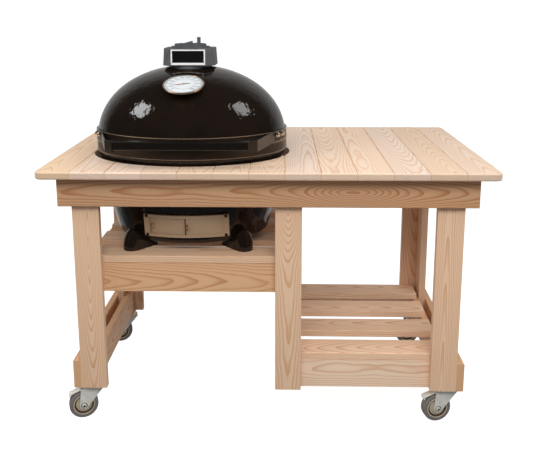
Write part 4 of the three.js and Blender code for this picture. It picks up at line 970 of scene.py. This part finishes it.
def wheels():
    """Wheels with a rounded tread, stepped rim and ribbed tyre shoulder."""
    side = [(0.0056, 0.0178), (0.0135, 0.0178), (0.0148, 0.0168), (0.015, 0.0128), (0.0268, 0.0118),
            (0.0284, 0.0092), (0.0324, 0.0092), (0.0334, 0.0148), (0.0342, 0.0158), (0.0358, 0.0158),
            (0.0366, 0.0146), (0.0376, 0.0144), (0.0388, 0.0158), (0.0448, 0.0159)]
    round_r, round_z, rounding = 0.044, 0.010, 0.006
    for angle in (0.35, 0.7, 1.0, 1.3, 1.57):
        side.append((round_r + rounding * math.sin(angle), round_z + rounding * math.cos(angle)))
    profile = side + [(0.0499, 0.0033), (0.0496, 0.0028), (0.0496, 0.0022), (0.05, 0.0016)]
    profile += [(r, -z) for r, z in reversed(profile)]
    for name, at, turn, centre in casters():
        spin = Matrix.Rotation(turn, 4, "Z")
        place = Matrix.Translation(centre) @ spin @ Matrix.Rotation(math.pi / 2, 4, "X")
        surface = wheel_surface("wheel_" + name, centre, turn)
        tyre = turned(profile, 72, place, closed=True)
        obj = add_mesh("caster_tyre_" + name, tyre, surface, "wheel_" + name, degrees=40)
        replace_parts(obj, "caster_wheel_" + name)
        plate_bolts(name, at)


def axle_ends():
    """A washer under each axle nut, and the bolt's dark end standing out of it."""
    cheek, nut_end, washer_thick = 0.0214, 0.0264, 0.001
    washer = oblong(0.0084, 0.0112, cheek, cheek + washer_thick)
    end = [(0, nut_end - 0.001), (0.0038, nut_end - 0.001), (0.0038, nut_end + 0.0008),
           (0.0031, nut_end + 0.0014), (0, nut_end + 0.0014)]
    for name, _, turn, centre in casters():
        spin = Matrix.Translation(centre) @ Matrix.Rotation(turn, 4, "Z")
        sides = [spin @ Matrix.Rotation(flip * math.pi / 2, 4, "X") for flip in (1, -1)]
        washers = gathered([turned(washer, 24, place, closed=True) for place in sides])
        add_mesh("axle_washers_" + name, washers, BRIGHT, "fork_" + name, degrees=25)
        ends = gathered([turned(end, 16, place) for place in sides])
        add_mesh("axle_bolt_ends_" + name, ends, SCREW, "fork_" + name, degrees=25)


def pedal_pads():
    """Ribbed tread plates on the brake pedals."""
    hinge, slope = (-0.040, 0, -0.020), 20
    plate, plate_thick, plate_z = oblong(-0.043, -0.018, -0.012, 0.012), 0.0012, 0.0014
    ribs, first_rib, rib_step = 5, -0.040, 0.0048
    rib_w, rib_half, rib_tall, rib_z = 0.0022, 0.0105, 0.0009, 0.0025
    for name, at, turn, _ in casters():
        if not name.startswith("front"):
            continue
        fork = Matrix.Translation(at) @ Matrix.Rotation(turn, 4, "Z")
        place = fork @ Matrix.Translation(hinge) @ Matrix.Rotation(-math.radians(slope), 4, "Y")
        parts = [slab(plate, plate_thick, place @ Matrix.Translation((0, 0, plate_z)))]
        for k in range(ribs):
            x = first_rib + rib_step * k
            rib = oblong(x, x + rib_w, -rib_half, rib_half)
            parts.append(slab(rib, rib_tall, place @ Matrix.Translation((0, 0, rib_z))))
        add_mesh("pedal_pad_" + name, gathered(parts), ZINC, "pedal_" + name, degrees=25)


fine_lid()
fine_base()
gasket()
grate_rods()
dial_marks()
dial_needle()
dial_numbers()
sign()
damper_ribs()
band_fixings()
draft_screws()
draft_handles()
fine_feet()
band_beads()
wheels()
axle_ends()
pedal_pads()


# Floor, light and camera
def floor():
    """A white floor with a glow of its own, which reflections and bounced light don't see."""
    surface = Surface("floor_white", Roughness=0.9)
    patch = surface.noise(surface.x * 0.7, surface.y * 0.7, 0.0, 2.0)
    surface.feed(Base_Color=patch.mix(rgb(180, 180, 180), rgb(186, 186, 186)))
    surface.feed(Emission_Color=(1.0, 1.0, 1.0, 1.0), Emission_Strength=0.9)
    mesh = bpy.data.meshes.new("floor")
    r = 14.0
    mesh.from_pydata([(-r, -r, 0), (r, -r, 0), (r, r, 0), (-r, r, 0)], [], [(0, 1, 2, 3)])
    obj = bpy.data.objects.new("floor", mesh)
    obj.location.z = -0.0008
    bpy.context.scene.collection.objects.link(obj)
    coat(obj, surface.material)
    obj.visible_glossy = obj.visible_diffuse = False


def softbox(name, direction, distance, width, height, power, aim=GRILL + Vector((0, -0.1, 0.15))):
    """A rectangular lamp set off from the aim in that direction and facing back at it."""
    light = bpy.data.lights.new(name, "AREA")
    light.shape = "RECTANGLE"
    light.size, light.size_y = width, height
    light.energy = power
    obj = bpy.data.objects.new(name, light)
    obj.location = aim + Vector(direction).normalized() * distance
    obj.rotation_mode = "QUATERNION"
    obj.rotation_quaternion = Vector(direction).to_track_quat("Z", "Y")
    bpy.context.scene.collection.objects.link(obj)
    return obj


def lights():
    """Two lamps that the glaze mirrors, and two that it doesn't."""
    softbox("left_box", (-0.746, -0.323, 0.583), 2.6, 0.8, 0.85, 20)
    softbox("right_box", (0.73, -0.234, 0.642), 2.6, 0.85, 0.85, 12)
    top = softbox("top_box", (0.0, -0.5, 1.0), 2.8, 2.8, 1.5, 6, aim=Vector((0, 0, 0.7)))
    front = softbox("front_box", (0.1, -1.0, 0.8), 3.4, 3.0, 1.1, 66, aim=Vector((0, 0, 0.5)))
    top.visible_glossy = front.visible_glossy = False


def surroundings():
    """A studio that the camera sees as white, with its own strengths as light and as reflection."""
    world = bpy.data.worlds.new("studio")
    bpy.context.scene.world = world
    world.use_nodes = True
    tree = world.node_tree
    root = Socket(tree)
    direction = root.node("ShaderNodeTexCoord", pick="Generated")
    dx, dy, dz = root.node("ShaderNodeSeparateXYZ", [direction], pick=(0, 1, 2))
    seen, glossy = root.node("ShaderNodeLightPath", pick=("Is Camera Ray", "Is Glossy Ray"))
    around = 0.21 + dz.ramp(-0.2, 1.0) * 0.12 + dy.ramp(-0.1, 0.8) * 0.28 + abs(dx).ramp(0.3, 1.0) * 0.14
    mirrored = 0.035 + dy.ramp(0.2, 0.75) * 0.58 + (-dz).ramp(0.25, 0.9) * 0.16
    strength = seen.blend(glossy.blend(around, mirrored), 1.0)
    background = tree.nodes["Background"]
    background.inputs["Color"].default_value = (1.0, 1.0, 1.0, 1.0)
    tree.links.new(strength.output, background.inputs["Strength"])


def camera():
    """A camera near the one fitted to the photograph, with as much of its shift as other views allow."""
    at = (0.0470465, -2.57271, 1.4168084)
    pitch, yaw, roll = 0.1913688, -0.0225152, -0.0014854
    shift, picture_width = 84.0, 533.0
    upward = Vector((0, 0, 1))
    right = Vector((math.cos(yaw), -math.sin(yaw), 0))
    ahead = Vector((math.sin(yaw), math.cos(yaw), 0))
    forward = math.cos(pitch) * ahead - math.sin(pitch) * upward
    up = math.sin(pitch) * ahead + math.cos(pitch) * upward
    x = math.cos(roll) * right + math.sin(roll) * up
    y = -math.sin(roll) * right + math.cos(roll) * up
    data = bpy.data.cameras.new("camera")
    data.sensor_width = 36.0
    data.lens = 47.0052
    data.shift_y = -shift / picture_width
    data.clip_start, data.clip_end = 0.05, 60.0
    obj = bpy.data.objects.new("camera", data)
    bpy.context.scene.collection.objects.link(obj)
    turn = Matrix((x, y, -forward)).transposed().to_4x4()
    obj.matrix_world = Matrix.Translation(at) @ turn
    bpy.context.scene.camera = obj


floor()
lights()
surroundings()
camera()
view = bpy.context.scene.view_settings
view.view_transform = "Standard"
view.look = "None"
view.exposure = 0.0
view.gamma = 1.0
